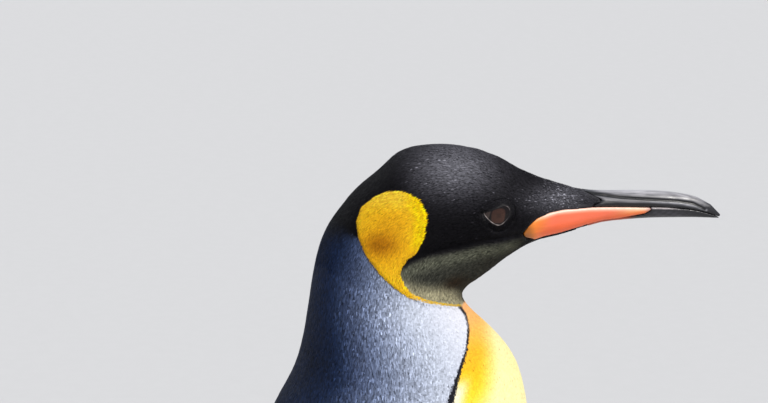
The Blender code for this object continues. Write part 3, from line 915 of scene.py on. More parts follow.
def build_skin_surface():
    """The skin as one mesh, with its points, outward directions, owners and coat depth."""
    solids = Solids(FLESH)
    mesh = joined_flesh(solids)
    points, _ = read_mesh(mesh)
    names = np.array(FLESH)[solids.nearest(points)[2]]
    on_head = names == "head"
    hard_near, hard_distance, _ = Solids(HARD).nearest(points)
    around = Neighbours(mesh)
    share = smoothing_share(points, names, hard_distance, around)
    points = around.smooth(points, share, SMOOTH_TIMES)

    # Back to the solids after the smoothing, and in by the coat's depth, but not beside bare parts.
    normals = set_points(mesh, points)
    near, _, owners = solids.nearest(points)
    off = np.einsum("ij,ij->i", points - near, normals)
    off = around.smooth(np.clip(off, -LARGEST_SHIFT, LARGEST_SHIFT), share, SMOOTH_TIMES)
    depth = around.smooth(coat_depths(owners, points), 0.5, 12)
    bare = smoothstep(*BARE_EDGE, hard_distance) * on_head
    depth = around.smooth(depth * (1 - 0.8 * bare), 0.5, 3)
    points = points - normals * (off + depth)[:, None]
    by_bill = smoothstep(*BILL_EDGE, hard_distance) * (measures(points)[1] > BILL_CORNER)
    points = points + (hard_near - points) * by_bill[:, None]
    points = points + normals * (head_forms(points) * on_head)[:, None]

    on_foot = np.char.startswith(np.array(FLESH)[owners], "foot")
    scales, furrow = foot_scales(points[on_foot])
    tops = smoothstep(-0.2, 0.2, normals[on_foot, 2])
    points[on_foot] += normals[on_foot] * (scales * tops)[:, None]
    made["furrow"] = np.zeros(len(points))
    made["furrow"][on_foot] = furrow * tops

    points = sink_under_lids(points)
    points[:, 2] = np.maximum(points[:, 2], 0.0)
    return mesh, points, set_points(mesh, points), owners, depth


def sink_under_lids(points):
    """Sinks the skin's edge round the eyes a little under the lids, which are added to it later."""
    fit = head_surface_fit()
    made["head_fit"] = fit
    side, forward, drop = measures(points)
    out = -inward_distance(EYELIDS, forward, drop)
    for sign in SIDES.values():
        near = (side * sign > OUTER_SIDE) & (out < LID_REACH)
        f, d, away = kept(near, forward, drop, out)
        under = 0.6 * smoothstep(LID_REACH, LID_REACH - 1.2, away)
        height = np.minimum(np.abs(side[near]), lid_height(fit, f, d, away) - under)
        points[near, 0] = sign * height * 0.001
    return points


def skin_colours(points, normals, owners):
    """The coat's colours on the skin below it, and the dark scaly skin of the feet."""
    colour, _ = body_colours(points)
    names = np.array(FLESH)[owners]
    for part, rule in (("wing", wing_colours), ("leg", leg_colours), ("tail", tail_colours)):
        own = np.char.startswith(names, part)
        colour[own], _ = rule(points[own], normals[own])
    feet = np.char.startswith(names, "foot")
    foot = display(settings().colours.foot)
    colour[feet] = mix(foot, foot * 0.35, 0.75 * made["furrow"][feet])
    return colour


class PENGUIN_OT_skin(bpy.types.Operator):
    """Makes the one skin under the coat, from the trunk to the toes, with the eyelids"""

    bl_idname = "penguin.skin"
    bl_label = "Skin"

    def execute(self, context):
        mesh, points, normals, owners, depth = build_skin_surface()
        paint(mesh, skin_colours(points, normals, owners))
        ground = mesh.copy()
        side, forward, drop = measures(points)
        outer = np.abs(side) > OUTER_SIDE
        under_lid = outer & (inward_distance(EYELIDS, forward, drop) > 0.8 - LID_REACH)
        set_ground(ground, normals, depth, np.where(under_lid, -1, owners))
        add_lids(mesh, ground)
        made["ground"] = ground
        made["ground_owners"] = read_vectors(ground.attributes["owner"].data, "value", 1)[:, 0]
        material, _ = marked_material(
            "skin", (0.55, 0.75), 0.22, grain=700.0, grain_share=0.12, bump=0.0002
        )
        mesh.shade_smooth()
        add_piece(mesh, "skin", material, "black_feathers", *FLESH)
        return {"FINISHED"}


# ---------------------------------------------------------------------------------------------
# Eyes and lids
# ---------------------------------------------------------------------------------------------

# Across the lids: distance out from the opening's edge, rise from the eyeball (0) to the head (1), and
# a lift on top of that. The rim is the roll at the edge, and the rest slopes up under the coat.
LIDS = [
    (-0.4, 0.0, -0.4), (-0.2, 0.0, 0.1), (0.0, 0.0, 0.36), (0.25, 0.0, 0.40), (0.5, 0.03, 0.30),
    (0.9, 0.16, 0.10), (1.5, 0.40, -0.1), (2.3, 0.70, -0.3), (3.3, 0.92, -0.5), (4.4, 1.0, -0.75),
    (5.6, 1.0, -1.3),
]
LID_REACH = 5.0
LID_CLEARANCE = 0.3
FIRST_COAT_ROW = 5
LID_POINTS = 96
# The inner face of a lid's ring: distance out from the opening's edge, and depth under the outer face.
LID_LINING = [(4.2, 1.2), (2.4, 1.2), (0.9, 1.1), (-0.3, 0.9)]
# Places further out than this from the mirror plane are on the outer faces of the head.
OUTER_SIDE = 15
EYE_SECTORS = 64


def head_surface_fit():
    """The head's outer face round the eye: its distance from the mirror plane at a forward and drop."""
    tree = Solids(["head"]).tree
    rows, values = [], []
    for reach in (8.0, 11.0, 14.0, 18.0):
        for angle in np.linspace(0, 2 * math.pi, 24, endpoint=False):
            f = EYE_CENTRE[1] + reach * math.cos(angle)
            d = EYE_CENTRE[2] + reach * math.sin(angle)
            hit, _, _, _ = tree.ray_cast(Vector(place(80, f, d)), Vector((-1, 0, 0)))
            if hit is None or hit.x * 1000 < EYE_CENTRE[0] + 2:
                continue
            rows.append(quadratic(f, d))
            values.append(hit.x * 1000)
    if len(rows) < 30:
        raise RuntimeError("the head has no surface beside the eye")
    answer, *_ = np.linalg.lstsq(np.array(rows), np.array(values), rcond=None)
    return answer


def quadratic(f, d):
    """The terms of the fitted surface at a forward and drop."""
    u, v = np.asarray(f) - EYE_CENTRE[1], np.asarray(d) - EYE_CENTRE[2]
    return np.stack([np.ones_like(u), u, v, u * u, v * v, u * v], -1)


def lid_height(fit, f, d, out):
    """How far the lids lie from the mirror plane, at a distance out from the opening's edge."""
    far = np.hypot(f - EYE_CENTRE[1], d - EYE_CENTRE[2])
    ball = EYE_CENTRE[0] + np.sqrt(np.maximum(EYE_RADIUS**2 - far**2, 30.0))
    head = quadratic(f, d) @ fit + head_forms(place(33.0, f, d)) * 1000
    profile = np.array(LIDS)
    rise = np.interp(out, profile[:, 0], profile[:, 1])
    lift = np.interp(out, profile[:, 0], profile[:, 2])
    lowest = ball + np.where(out < 0, lift, LID_CLEARANCE)
    return np.maximum(ball + (head - ball) * rise + lift, lowest)


def lid_surface(fit, share, out):
    """Places on the lids: share round the opening from 0 to 1 and distance out from its edge."""
    loop = rounded(EYELIDS, LID_POINTS, closed=True)
    steps = np.arange(LID_POINTS) / LID_POINTS
    f = np.interp(share, steps, loop[:, 0], period=1)
    d = np.interp(share, steps, loop[:, 1], period=1)
    centre = loop.mean(0)
    away = np.stack([f - centre[0], d - centre[1]], -1)
    reach = np.linalg.norm(away, axis=1)
    away = away / reach[:, None]
    f = f + away[:, 0] * out
    d = d + away[:, 1] * out
    return lid_height(fit, f, d, out), f, d


def join_into(mesh, addition):
    """Adds one mesh to another."""
    bm = bmesh.new()
    bm.from_mesh(mesh)
    bm.from_mesh(addition)
    bm.to_mesh(mesh)
    bm.free()
    bpy.data.meshes.remove(addition)


def add_lids(mesh, ground):
    """Adds closed rings of lid round the eyes to the skin, and their outer part to the feathers' ground."""
    fit = made["head_fit"]
    share = np.arange(LID_POINTS) / LID_POINTS
    hood = display(settings().colours.hood)
    for sign in SIDES.values():
        rings, tones = [], []
        for out, _, _ in LIDS:
            side, f, d = lid_surface(fit, share, np.full(LID_POINTS, out))
            rings.append(place(sign * side, f, d))
            tones.append(lid_tones(share, out))
        coat_rings = rings[FIRST_COAT_ROW:]
        for out, depth in LID_LINING:
            side, f, d = lid_surface(fit, share, np.full(LID_POINTS, out))
            rings.append(place(sign * (side - depth), f, d))
            tones.append(np.broadcast_to(hood, (LID_POINTS, 3)))
        lid = write_mesh("lids", np.concatenate(rings), ring_faces(len(rings), LID_POINTS, sign, True))
        paint(lid, np.concatenate(tones))
        join_into(mesh, lid)

        points = np.concatenate(coat_rings)
        bed = write_mesh("lid_bed", points, ring_faces(len(coat_rings), LID_POINTS, sign, False))
        outs = np.repeat([out for out, _, _ in LIDS[FIRST_COAT_ROW:]], LID_POINTS)
        depth = settings().head.depth * (0.25 + 0.5 * smoothstep(0.9, 4.4, outs))
        set_ground(bed, set_points(bed, points), depth, np.full(len(points), FLESH.index("head")))
        join_into(ground, bed)


def set_ground(mesh, outward, depth, owners):
    """Stores what the scatter of feathers reads: outward directions, coat depth and owning nodes."""
    for name, kind, field, values in (
        ("outward", "FLOAT_VECTOR", "vector", outward),
        ("depth", "FLOAT", "value", depth),
        ("owner", "FLOAT", "value", owners),
    ):
        attribute = mesh.attributes.new(name, kind, "POINT")
        attribute.data.foreach_set(field, np.asarray(values, np.float32).ravel())


def lid_tones(share, out):
    """A pale rim along the bottom, and a painted highlight on the rim at the front top; dark elsewhere."""
    colours = settings().colours
    low = swell(share - 0.78, 0.19, 4)
    # Painted highlight on the rim at the front top.
    high = swell(share - 0.38, 0.07, 4)
    pale = np.clip(low + 0.55 * high, 0, 1) * (0.8 + 0.2 * np.sin(share * 90)) + 0.04
    rim = between(out, (-0.2, 0.0), (0.6, 0.3))
    return mix(display(colours.hood), display(colours.lid), pale * rim)


def eye_tones(f, d):
    """Brown squarish iris with a soft dark pupil, only a little darker than the iris as a painted
    reflection of the sky lies over it, a black ring, and a greyish corner behind a fold.
    """
    brown = display(settings().colours.iris)
    ahead, below = f - IRIS_CENTRE[0], d - IRIS_CENTRE[1]
    u = np.abs(ahead + 0.12 * below) / IRIS_HALF[0]
    v = np.abs(below) / IRIS_HALF[1]
    reach = (u**3.2 + v**3.2) ** (1 / 3.2)
    angle = np.arctan2(below, ahead)
    streak = 0.05 * np.sin(angle * 38) + 0.04 * np.sin(angle * 61 + 1)
    iris = brown * (1 + streak + 0.15 * below / 6)[:, None]
    # Painted reflection: the pupil is only a little darker than the iris, as if the sky's reflection lay
    # over it.
    pupil = np.maximum(np.abs(ahead - 0.4), np.abs(below + 0.3))
    iris = mix(iris, brown * 0.7, 0.5 * smoothstep(2.1, 0.8, pupil))
    colour = mix(iris, EYE_RING, smoothstep(0.86, 1.10, reach))
    return mix(colour, EYE_CORNER, smoothstep(30.8, 30.0, f + 0.3 * (d - 44)))


def eyeball(sign):
    """Points and triangles of one eyeball, finest where it shows."""
    turn = np.linspace(0, 2 * math.pi, EYE_SECTORS, endpoint=False)
    polar = np.concatenate([np.linspace(0, 1.0, 56), np.linspace(1.0, math.pi, 18)[1:-1]])[1:]
    rings = []
    for angle in polar:
        reach = EYE_RADIUS * math.sin(angle)
        side = EYE_CENTRE[0] + EYE_RADIUS * math.cos(angle)
        f = EYE_CENTRE[1] + reach * np.cos(turn)
        d = EYE_CENTRE[2] + reach * np.sin(turn)
        rings.append(place(sign * side, f, d))
    poles = [place(sign * (EYE_CENTRE[0] + rise), *EYE_CENTRE[1:]) for rise in (EYE_RADIUS, -EYE_RADIUS)]
    top = len(rings) * EYE_SECTORS
    bottom = top + 1
    j = np.arange(EYE_SECTORS)
    k = (j + 1) % EYE_SECTORS
    last = top - EYE_SECTORS
    caps = [np.full(EYE_SECTORS, top), k, j, np.full(EYE_SECTORS, bottom), last + j, last + k]
    faces = halved(ring_faces(len(rings), EYE_SECTORS, -1, False))
    faces = np.concatenate([faces, np.stack(caps, -1).reshape(-1, 3)])
    return np.concatenate([*rings, poles]), faces[:, ::-1] if sign > 0 else faces


class PENGUIN_OT_eyes(bpy.types.Operator):
    """Makes both eyeballs with their brown irises"""

    bl_idname = "penguin.eyes"
    bl_label = "Eyes"

    def execute(self, context):
        material, _ = marked_material("eye", (0.07, 0.12), 0.22, grain=1500.0, grain_share=0.08)
        for side, sign in SIDES.items():
            points, faces = eyeball(sign)
            mesh = write_mesh(f"eyeball_{side}", points, faces)
            out, f, d = measures(points)
            colour = eye_tones(f, d)
            colour[np.abs(out) <= EYE_FRONT] = 0.1
            paint(mesh, colour)
            mesh.shade_smooth()
            add_piece(mesh, f"eyeball_{side}", material, "eye", f"eye_{side}")
        return {"FINISHED"}


# ---------------------------------------------------------------------------------------------
# Bill and claws
# ---------------------------------------------------------------------------------------------

BILL_SMOOTHING = 24
CLAW_SMOOTHING = 6
CLAW_CELL = 0.0007
CLAW_SEAT = 0.0022      # how far a claw's root lies in the toe


def smooth_solid(node, cell, times, forms=None):
    """A node's shape in even fine cells, its facets smoothed away and its forms carved."""
    mesh = remeshed([node], cell, 0.0)
    points, _ = read_mesh(mesh)
    around = Neighbours(mesh)
    points = around.smooth(points, 0.5, times)
    normals = set_points(mesh, points)
    near, _, _ = Solids([node]).nearest(points)
    off = np.einsum("ij,ij->i", points - near, normals)
    off = around.smooth(off, 0.5, times)
    points = points - normals * off[:, None]
    if forms is not None:
        points = points + normals * forms(points)[:, None]
    set_points(mesh, points)
    return mesh, points


def upper_forms(points):
    """The long groove that the nostril lies in, and the raised strip below it."""
    side, forward, drop = measures(points)
    out = smoothstep(0.5, 2.5, np.abs(side)) * smoothstep(94, 104, forward) * smoothstep(184, 176, forward)
    height = -0.6 * swell(line_distance(NOSE_GROOVE, forward, drop), 0.75)
    strip = swell(line_distance(PALE_STRIP, forward, drop), 0.9)
    height = height + 0.2 * strip * smoothstep(122, 146, forward)
    return height * out * 0.001 + mouth_swelling(points)


def mouth_swelling(points):
    """Brings both bills together along the mouth, in metres."""
    _, forward, drop = measures(points)
    off = np.abs(drop - read_line(MOUTH_LINE, forward))
    return (0.00017 + 0.00013 * smoothstep(160, 172, forward)) * smoothstep(1.0, 0.5, off)


def upper_tones(points):
    """Black horn with a painted highlight along the ridge, a grey strip below the groove, a groove painted
    darker as shade, and a black mouth edge.
    """
    side, forward, drop = measures(points)
    above = read_line(NOSE_GROOVE, forward) - drop
    turn = np.abs(side) + 0.8 * above
    streak = 0.5 + 0.5 * np.sin(turn * 4.3 + 1.1 * np.sin(forward * 0.13)) * np.cos(forward * 0.19 + turn)
    # Painted highlight along the glossy ridge, fading towards the tip.
    ridge = smoothstep(0.3, 2.2, above) * between(forward, (96, 108), (188, 174))
    ridge = ridge * (0.75 + 0.25 * smoothstep(2.0, 4.5, above))
    bright = np.interp(forward, (110, 135, 155), (0.74, 0.66, 0.50))
    horn = mix(display(settings().colours.horn), RIDGE_HIGHLIGHT, ridge * (bright + 0.26 * streak))
    strip = swell(line_distance(PALE_STRIP, forward, drop), 0.9) * smoothstep(120, 152, forward)
    horn = mix(horn, STRIP_GREY, 0.8 * strip)
    grey_patch = between(above, (-3.6, -2.6), (-0.5, -1.2)) * between(forward, (98, 106), (142, 128))
    horn = mix(horn, UNDER_GROOVE_GREY, 0.62 * grey_patch * (0.7 + 0.3 * streak))
    above_mouth = read_line(MOUTH_LINE, forward) - drop
    edge = smoothstep(3.4, 2.4, above_mouth) * smoothstep(154, 142, forward)
    horn = mix(horn, MOUTH_BLACK, 0.85 * edge)
    # Painted shade: the groove is made darker than the horn.
    groove = swell(line_distance(NOSE_GROOVE, forward, drop), 0.9, 4)
    return mix(horn, GROOVE_SHADE, 0.97 * groove * smoothstep(96, 102, forward))


def lower_tones(points):
    """Black horn with the plates' glow beside them, a painted highlight along the lip ahead of them and
    mottled painted highlights towards the tip.
    """
    side, forward, drop = measures(points)
    by_plate = smoothstep(1.5, 3.0, np.abs(side)) * between(forward, (56, 60), (136, 124))
    horn = mix(display(settings().colours.horn), PLATE_GLOW, 0.85 * by_plate)
    below = drop - read_line(MOUTH_LINE, forward)
    # Painted highlight along the top edge of the lower bill's lip.
    lip = smoothstep(1.7, 0.5, below) * between(forward, (138, 144), (168, 152))
    horn = mix(horn, LIP_HIGHLIGHT, 0.8 * lip)
    # Mottled painted highlights on the lower bill towards its tip.
    grey_patch = smoothstep(1.5, 3.0, below) * between(forward, (142, 147), (176, 160))
    mottle = 0.5 + 0.5 * np.sin(forward * 0.9) * np.sin(drop * 1.7 + forward * 0.3)
    return mix(horn, MOTTLED_HIGHLIGHT, grey_patch * (0.1 + 0.45 * mottle))


def plate_tones(points):
    """Coral, orange at the rear and redder along the lower edge, with a painted highlight along the top,
    and paler at the front.
    """
    _, forward, drop = measures(points)
    below = drop - read_line(MOUTH_LINE, forward)
    coral = mix(display(settings().colours.plate), PLATE_ORANGE, smoothstep(76, 61, forward))
    coral = mix(coral, PLATE_FRONT, 0.85 * smoothstep(112, 134, forward))
    # Painted highlight along the plate's top edge.
    coral = mix(coral, PLATE_TOP_HIGHLIGHT, 0.85 * smoothstep(3.8, 0.4, below) * smoothstep(58, 72, forward))
    height = read_line(PLATE_HEIGHT, forward)
    under = smoothstep(0.50, 0.95, below / height) * smoothstep(60, 70, forward)
    coral = mix(coral, PLATE_RED, 0.65 * under)
    coral = mix(coral, PLATE_AMBER, 0.85 * smoothstep(65, 58, forward + 0.25 * (60 - drop)))
    return mix(coral, PLATE_POINT, 0.8 * smoothstep(137, 143, forward))


class PENGUIN_OT_bill(bpy.types.Operator):
    """Makes the upper bill with its groove, the lower bill and the coral plates"""

    bl_idname = "penguin.bill"
    bl_label = "Bill"

    def execute(self, context):
        cell = settings().bill_cell
        horn, _ = marked_material(
            "bill_horn", (0.24, 0.48), 0.5, grain=900.0, grain_share=0.22, bump=0.00016,
            stretch=(1, 0.14, 1),
        )
        plate, _ = marked_material(
            "bill_plate", (0.30, 0.42), 0.5, grain=420.0, grain_share=0.05, bump=0.00004,
            stretch=(1, 0.2, 1),
        )
        jobs = [
            ("bill_upper", horn, upper_forms, upper_tones, "bill_horn"),
            ("bill_lower", horn, mouth_swelling, lower_tones, "bill_horn"),
            ("bill_plate_left", plate, None, plate_tones, "orange_plate"),
            ("bill_plate_right", plate, None, plate_tones, "orange_plate"),
        ]
        for node, material, forms, tones, slot in jobs:
            mesh, points = smooth_solid(node, cell, BILL_SMOOTHING, forms)
            paint(mesh, tones(points))
            mesh.shade_smooth()
            add_piece(mesh, f"{node}_horn", material, slot, node)
        return {"FINISHED"}


def seat_claw(node, points):
    """Sinks a claw's root into the toe's skin, and keeps the claw above the floor."""
    gap = Solids(["foot_" + node.split("_")[1]]).distance(points)
    root = smoothstep(0.0024, 0.0008, gap)
    if root.sum() < 1:
        raise RuntimeError(f"{node} does not meet its toe")
    inward = (points * root[:, None]).sum(0) / root.sum() - points.mean(0)
    inward /= np.linalg.norm(inward)
    points = points + inward * (CLAW_SEAT * root)[:, None]
    points[:, 2] = np.maximum(points[:, 2], 0.0)
    return points


class PENGUIN_OT_claws(bpy.types.Operator):
    """Makes the eight claws"""

    bl_idname = "penguin.claws"
    bl_label = "Claws"

    def execute(self, context):
        material, _ = marked_material(
            "claw_horn", (0.30, 0.5), 0.5, grain=600.0, grain_share=0.15, bump=0.0001
        )
        claw = display(settings().colours.claw)
        for node in CLAWS:
            mesh, points = smooth_solid(node, CLAW_CELL, CLAW_SMOOTHING)
            points = seat_claw(node, points)
            set_points(mesh, points)
            low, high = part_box(node)
            ahead = (high.y - points[:, 1]) / (high.y - low.y)
            paint(mesh, mix(claw, claw * 2.2, smoothstep(0.45, 1.0, ahead)))
            mesh.shade_smooth()
            add_piece(mesh, f"{node}_horn", material, "claw_horn", node)
        return {"FINISHED"}


# ---------------------------------------------------------------------------------------------
# Feathers
# ---------------------------------------------------------------------------------------------

CROWDING = 3.2              # points thrown for each square of the spacing, before the close ones go
LIE_POINTS = 90
LIE_BLEND = 20.0            # millimetres over which the coat's direction turns
MOST_AT_ONCE = 20000        # points measured at one time, to save memory
TUFT_PATCH = 0.003          # how much of the unwrap one feather takes
MOST_TRIANGLES = 200000     # in one piece
# The faces of a feather's five points: root, edge, edge, shaft and tip.
VANE_FACES = np.array([(0, 3, 1), (1, 3, 4), (4, 3, 2), (2, 3, 0), (0, 1, 2), (1, 4, 2)])[:, ::-1]
ROOT_DEPTH = 0.0002         # how far a feather's root lies in the skin
FLOOR_GAP = 0.0004          # between the feathers and the floor
MARK_HEIGHT = 0.001         # over the skin, where the edge of the golden patch is judged
PATCH_OVERLAP = 0.2         # how far the dark feathers grow into the golden patch
BILL_MARGIN = 0.0007        # the bare strip beside the bill
LID_MARGIN = 0.9            # the bare strip beside the opening of the lids
SOCKET_DEPTH = 4.0          # nothing grows behind the lids, as far out as this from the eyeball's middle
LORE_END = (93, 40)         # nothing grows both further forward and lower than this
# The trunk's feathers grow down the body: from a drop, to a drop, and the share of their full size.
TRUNK_BANDS = [(100, 225, 0.60), (225, 250, 0.70), (250, 280, 0.80), (280, 320, 0.90), (320, 1000, 1.0)]
BAND_OVERLAP = 16
PATCH_SPECKLE = 0.07
PATCH_RISE = 0.0011         # how much the golden patch stands proud
ALONG_THROAT_LINE = (0.0, -0.95, -0.3)
WING_LIE = (0.0, 0.12, -0.99)
COVERTS_REACH = 0.42        # share of the tail that the coverts reach down to


def scatter_group():
    """A node group that scatters points over the chosen faces, no closer than a distance."""
    group = bpy.data.node_groups.new("scatter", "GeometryNodeTree")
    for direction in ("INPUT", "OUTPUT"):
        group.interface.new_socket("Geometry", in_out=direction, socket_type="NodeSocketGeometry")
    entry = group.nodes.new("NodeGroupInput")
    leave = group.nodes.new("NodeGroupOutput")
    throw = group.nodes.new("GeometryNodeDistributePointsOnFaces")
    throw.name = "throw"
    throw.distribute_method = "POISSON"
    chosen = group.nodes.new("GeometryNodeInputNamedAttribute")
    chosen.data_type = "BOOLEAN"
    chosen.inputs["Name"].default_value = "chosen"
    to_points = group.nodes.new("GeometryNodePointsToVertices")
    group.links.new(entry.outputs[0], throw.inputs["Mesh"])
    group.links.new(chosen.outputs["Attribute"], throw.inputs["Selection"])
    group.links.new(throw.outputs["Points"], to_points.inputs[0])
    group.links.new(to_points.outputs[0], leave.inputs[0])
    return group


def coat_ground():
    """The surface that the feathers grow from."""
    if "ground" not in made:
        raise RuntimeError("the skin has to be made before its feathers")
    return made["ground"]


def scatter(spacing, chosen_points, seed):
    """Roots of feathers where a mark per point says so, with their outward directions and depths."""
    ground = coat_ground().copy()
    loops = np.zeros(len(ground.loops), np.int32)
    ground.loops.foreach_get("vertex_index", loops)
    starts = np.zeros(len(ground.polygons), np.int32)
    ground.polygons.foreach_get("loop_start", starts)
    chosen = np.logical_or.reduceat(chosen_points[loops], starts)
    attribute = ground.attributes.new("chosen", "BOOLEAN", "FACE")
    attribute.data.foreach_set("value", chosen)
    group = scatter_group()
    throw = group.nodes["throw"]
    throw.inputs["Distance Min"].default_value = spacing
    throw.inputs["Density Max"].default_value = CROWDING / spacing**2
    throw.inputs["Seed"].default_value = seed

    def use_group(modifier):
        modifier.node_group = group

    result = evaluated(ground, use_group, "NODES")
    roots = read_vectors(result.vertices, "co")
    outward = read_vectors(result.attributes["outward"].data, "vector")
    depth = read_vectors(result.attributes["depth"].data, "value", 1)[:, 0]
    for mesh in (result, ground):
        bpy.data.meshes.remove(mesh)
    bpy.data.node_groups.remove(group)
    outward /= np.maximum(np.linalg.norm(outward, axis=1), 1e-6)[:, None]
    return roots, outward, depth


def lie_of_coat(points):
    """The direction that feathers point in, before they are laid on the skin."""
    _, forward, drop = measures(points)
    line = rounded(LIE_LINE, LIE_POINTS)
    middle = (line[1:] + line[:-1]) / 2
    run = np.diff(line, axis=0)
    run /= np.linalg.norm(run, axis=1)[:, None]
    total = np.zeros((len(points), 2))
    for part in np.array_split(np.arange(len(points)), max(1, len(points) // MOST_AT_ONCE)):
        gap = (forward[part, None] - middle[:, 0]) ** 2 + (drop[part, None] - middle[:, 1]) ** 2
        weight = np.exp(-(gap - gap.min(1, keepdims=True)) / (2 * LIE_BLEND**2))
        total[part] = weight @ run
    total /= np.linalg.norm(total, axis=1)[:, None]
    return np.stack([np.zeros(len(points)), -total[:, 0], -total[:, 1]], -1)


def unwrap_body(points):
    """A place on the unwrap of the body round the line that its coat follows."""
    side, forward, drop = measures(points)
    line = rounded(LIE_LINE, LIE_POINTS)
    run = np.diff(line, axis=0)
    steps = np.linalg.norm(run, axis=1)
    run /= steps[:, None]
    ends = np.concatenate([[0], np.cumsum(steps)])
    along = np.zeros(len(points))
    angle = np.zeros(len(points))
    for part in np.array_split(np.arange(len(points)), max(1, len(points) // MOST_AT_ONCE)):
        gap = (forward[part, None] - line[:-1, 0]) ** 2 + (drop[part, None] - line[:-1, 1]) ** 2
        near = gap.argmin(1)
        away = np.stack([forward[part] - line[near, 0], drop[part] - line[near, 1]], -1)
        along[part] = ends[near] + np.einsum("ij,ij->i", away, run[near])
        across = away[:, 0] * run[near, 1] - away[:, 1] * run[near, 0]
        angle[part] = np.arctan2(side[part], across)
    return along, angle


def fitted(values):
    """Values spread over the unwrap from edge to edge."""
    low, high = values.min(), values.max()
    return 0.01 + 0.98 * (values - low) / max(high - low, 1e-9)


def add_feathers(name, slot, material, feathers, unwrap):
    """One coat piece of closed vanes: a root, two edges, a raised shaft and a tip."""
    roots, outward, lie = feathers["roots"], feathers["outward"], feathers["lie"]
    length, width, rise = feathers["length"], feathers["width"], feathers["rise"]
    colour, speckle = feathers["colour"], feathers["speckle"]
    count = len(roots)
    if count == 0:
        raise RuntimeError(f"{name} has no feathers")
    if count * len(VANE_FACES) >= MOST_TRIANGLES:
        raise RuntimeError(f"{name} has {count} feathers, too many for one piece")
    across = np.cross(outward, lie)
    corners = np.zeros((count, 5, 3))
    corners[:, 0] = roots - outward * ROOT_DEPTH
    belly = roots + lie * (0.5 * length)[:, None] + outward * (0.85 * rise)[:, None]
    corners[:, 1] = belly - across * (width / 2)[:, None]
    corners[:, 2] = belly + across * (width / 2)[:, None]
    corners[:, 3] = belly + outward * (0.09 * width + 0.00003)[:, None]
    corners[:, 4] = roots + lie * length[:, None] + outward * (rise * feathers["tip"])[:, None]
    corners[..., 2] = np.maximum(corners[..., 2], FLOOR_GAP)
    faces = (np.arange(count)[:, None, None] * 5 + VANE_FACES[None]).reshape(-1, 3)
    mesh = write_mesh(name, corners.reshape(-1, 3), faces)
    facing = np.repeat((outward + feathers["tilt"])[:, None], 5, axis=1)
    bow = across * feathers["bow"][:, None]
    facing[:, 1] -= bow
    facing[:, 2] += bow
    facing[:, 4] += lie * 0.15
    facing /= np.linalg.norm(facing, axis=2)[..., None]
    mesh.normals_split_custom_set_from_vertices(facing.reshape(-1, 3).tolist())

    tones = np.zeros((count, 5, 3))
    tones[:, 0] = colour * feathers["base"][:, None]
    tones[:, 1] = tones[:, 2] = colour * (1 - 0.6 * speckle)[:, None]
    tones[:, 3] = colour
    tones[:, 4] = colour * (1 + 0.8 * speckle)[:, None]
    paint(mesh, tones.reshape(-1, 3))

    offsets = TUFT_PATCH / 2 * np.array([(0, -1), (-1, 0), (1, 0), (0, 0), (0, 1)])
    set_bake_map(mesh, (np.stack(unwrap, -1)[:, None] + offsets).reshape(-1, 2), faces)
    add_piece(mesh, name, material, slot)


def set_bake_map(mesh, spots, faces):
    """Stores each point's place on the unwrap."""
    layer = mesh.uv_layers.new(name="OFBake")
    layer.data.foreach_set("uv", spots[faces.ravel()].astype(np.float32).ravel())


def add_both_sides(feathers, material, *parts):
    """Coat pieces on each side of the bird: every part has a name, a slot and the feathers it takes."""
    along, angle = unwrap_body(feathers["roots"])
    for side, sign in SIDES.items():
        for part, slot, zone in parts:
            own = (feathers["roots"][:, 0] * sign > 0) & zone
            unwrap = fitted(along[own]), fitted(angle[own])
            add_feathers(f"coat_{part}_{side}", slot, material, picked(feathers, own), unwrap)


def lay_feathers(roots, outward, depth, lay, rng, colour_rule, lie=None):
    """Sizes, directions and colours of feathers from their roots."""
    count = len(roots)
    lie = lie_of_coat(roots) if lie is None else lie
    lie = lie + rng.normal(0, 0.09, (count, 3))
    lie -= outward * np.einsum("ij,ij->i", lie, outward)[:, None]
    lie /= np.maximum(np.linalg.norm(lie, axis=1), 1e-6)[:, None]
    length = lay.length * rng.uniform(0.82, 1.18, count)
    middle = roots + lie * (0.6 * length)[:, None] + outward * depth[:, None]
    colour, speckle = colour_rule(middle, outward)
    tone = np.clip(rng.normal(1, 1, count), -1.5, 3.5) * speckle + (1 - speckle)
    return {
        "roots": roots,
        "outward": outward,
        "lie": lie,
        "length": length,
        "width": lay.width * rng.uniform(0.85, 1.15, count),
        "rise": depth * rng.uniform(0.9, 1.05, count),
        "colour": np.clip(colour * tone[:, None], 0, 1),
        "speckle": speckle,
        "base": np.full(count, 0.8),
        "tilt": rng.normal(0, 0.10, (count, 3)),
        "bow": np.full(count, 0.45),
        "tip": np.ones(count),
    }


def picked(feathers, mask):
    """The chosen ones of some feathers."""
    return {key: value[mask] for key, value in feathers.items()}


def owner_is(*names):
    """Which points of the feathers' ground belong to some nodes."""
    owners = made["ground_owners"]
    return np.isin(owners, [FLESH.index(name) for name in names])


def add_flecks(feathers, share, rng):
    """Makes a share of the feathers paler, and those between them a little darker."""
    fleck = rng.uniform(0, 1, len(share)) < share
    darker = feathers["colour"] * (1 - 0.15 * share)[:, None]
    paler = feathers["colour"] * 1.12 + 0.045
    feathers["colour"] = np.clip(np.where(fleck[:, None], paler, darker), 0, 1)


def sleek_front(feathers):
    """Makes the feathers of the front smooth and silky: flatter, and with little shade between them."""
    _, forward, drop = measures(feathers["roots"])
    ahead = smoothstep(-48, -4, inward_distance(FRONT_ZONE, forward, drop))
    feathers["bow"] *= 1 - 0.6 * ahead
    feathers["tip"] *= 1 - 0.35 * ahead
    feathers["tilt"] *= (1 - 0.6 * ahead)[:, None]
    feathers["base"] += 0.2 * ahead
    feathers["width"] *= 1 + 0.25 * ahead


def patch_distance(points):
    """How far places lie inside the golden patch."""
    _, forward, drop = measures(points)
    return inward_distance(PATCH, forward, drop)


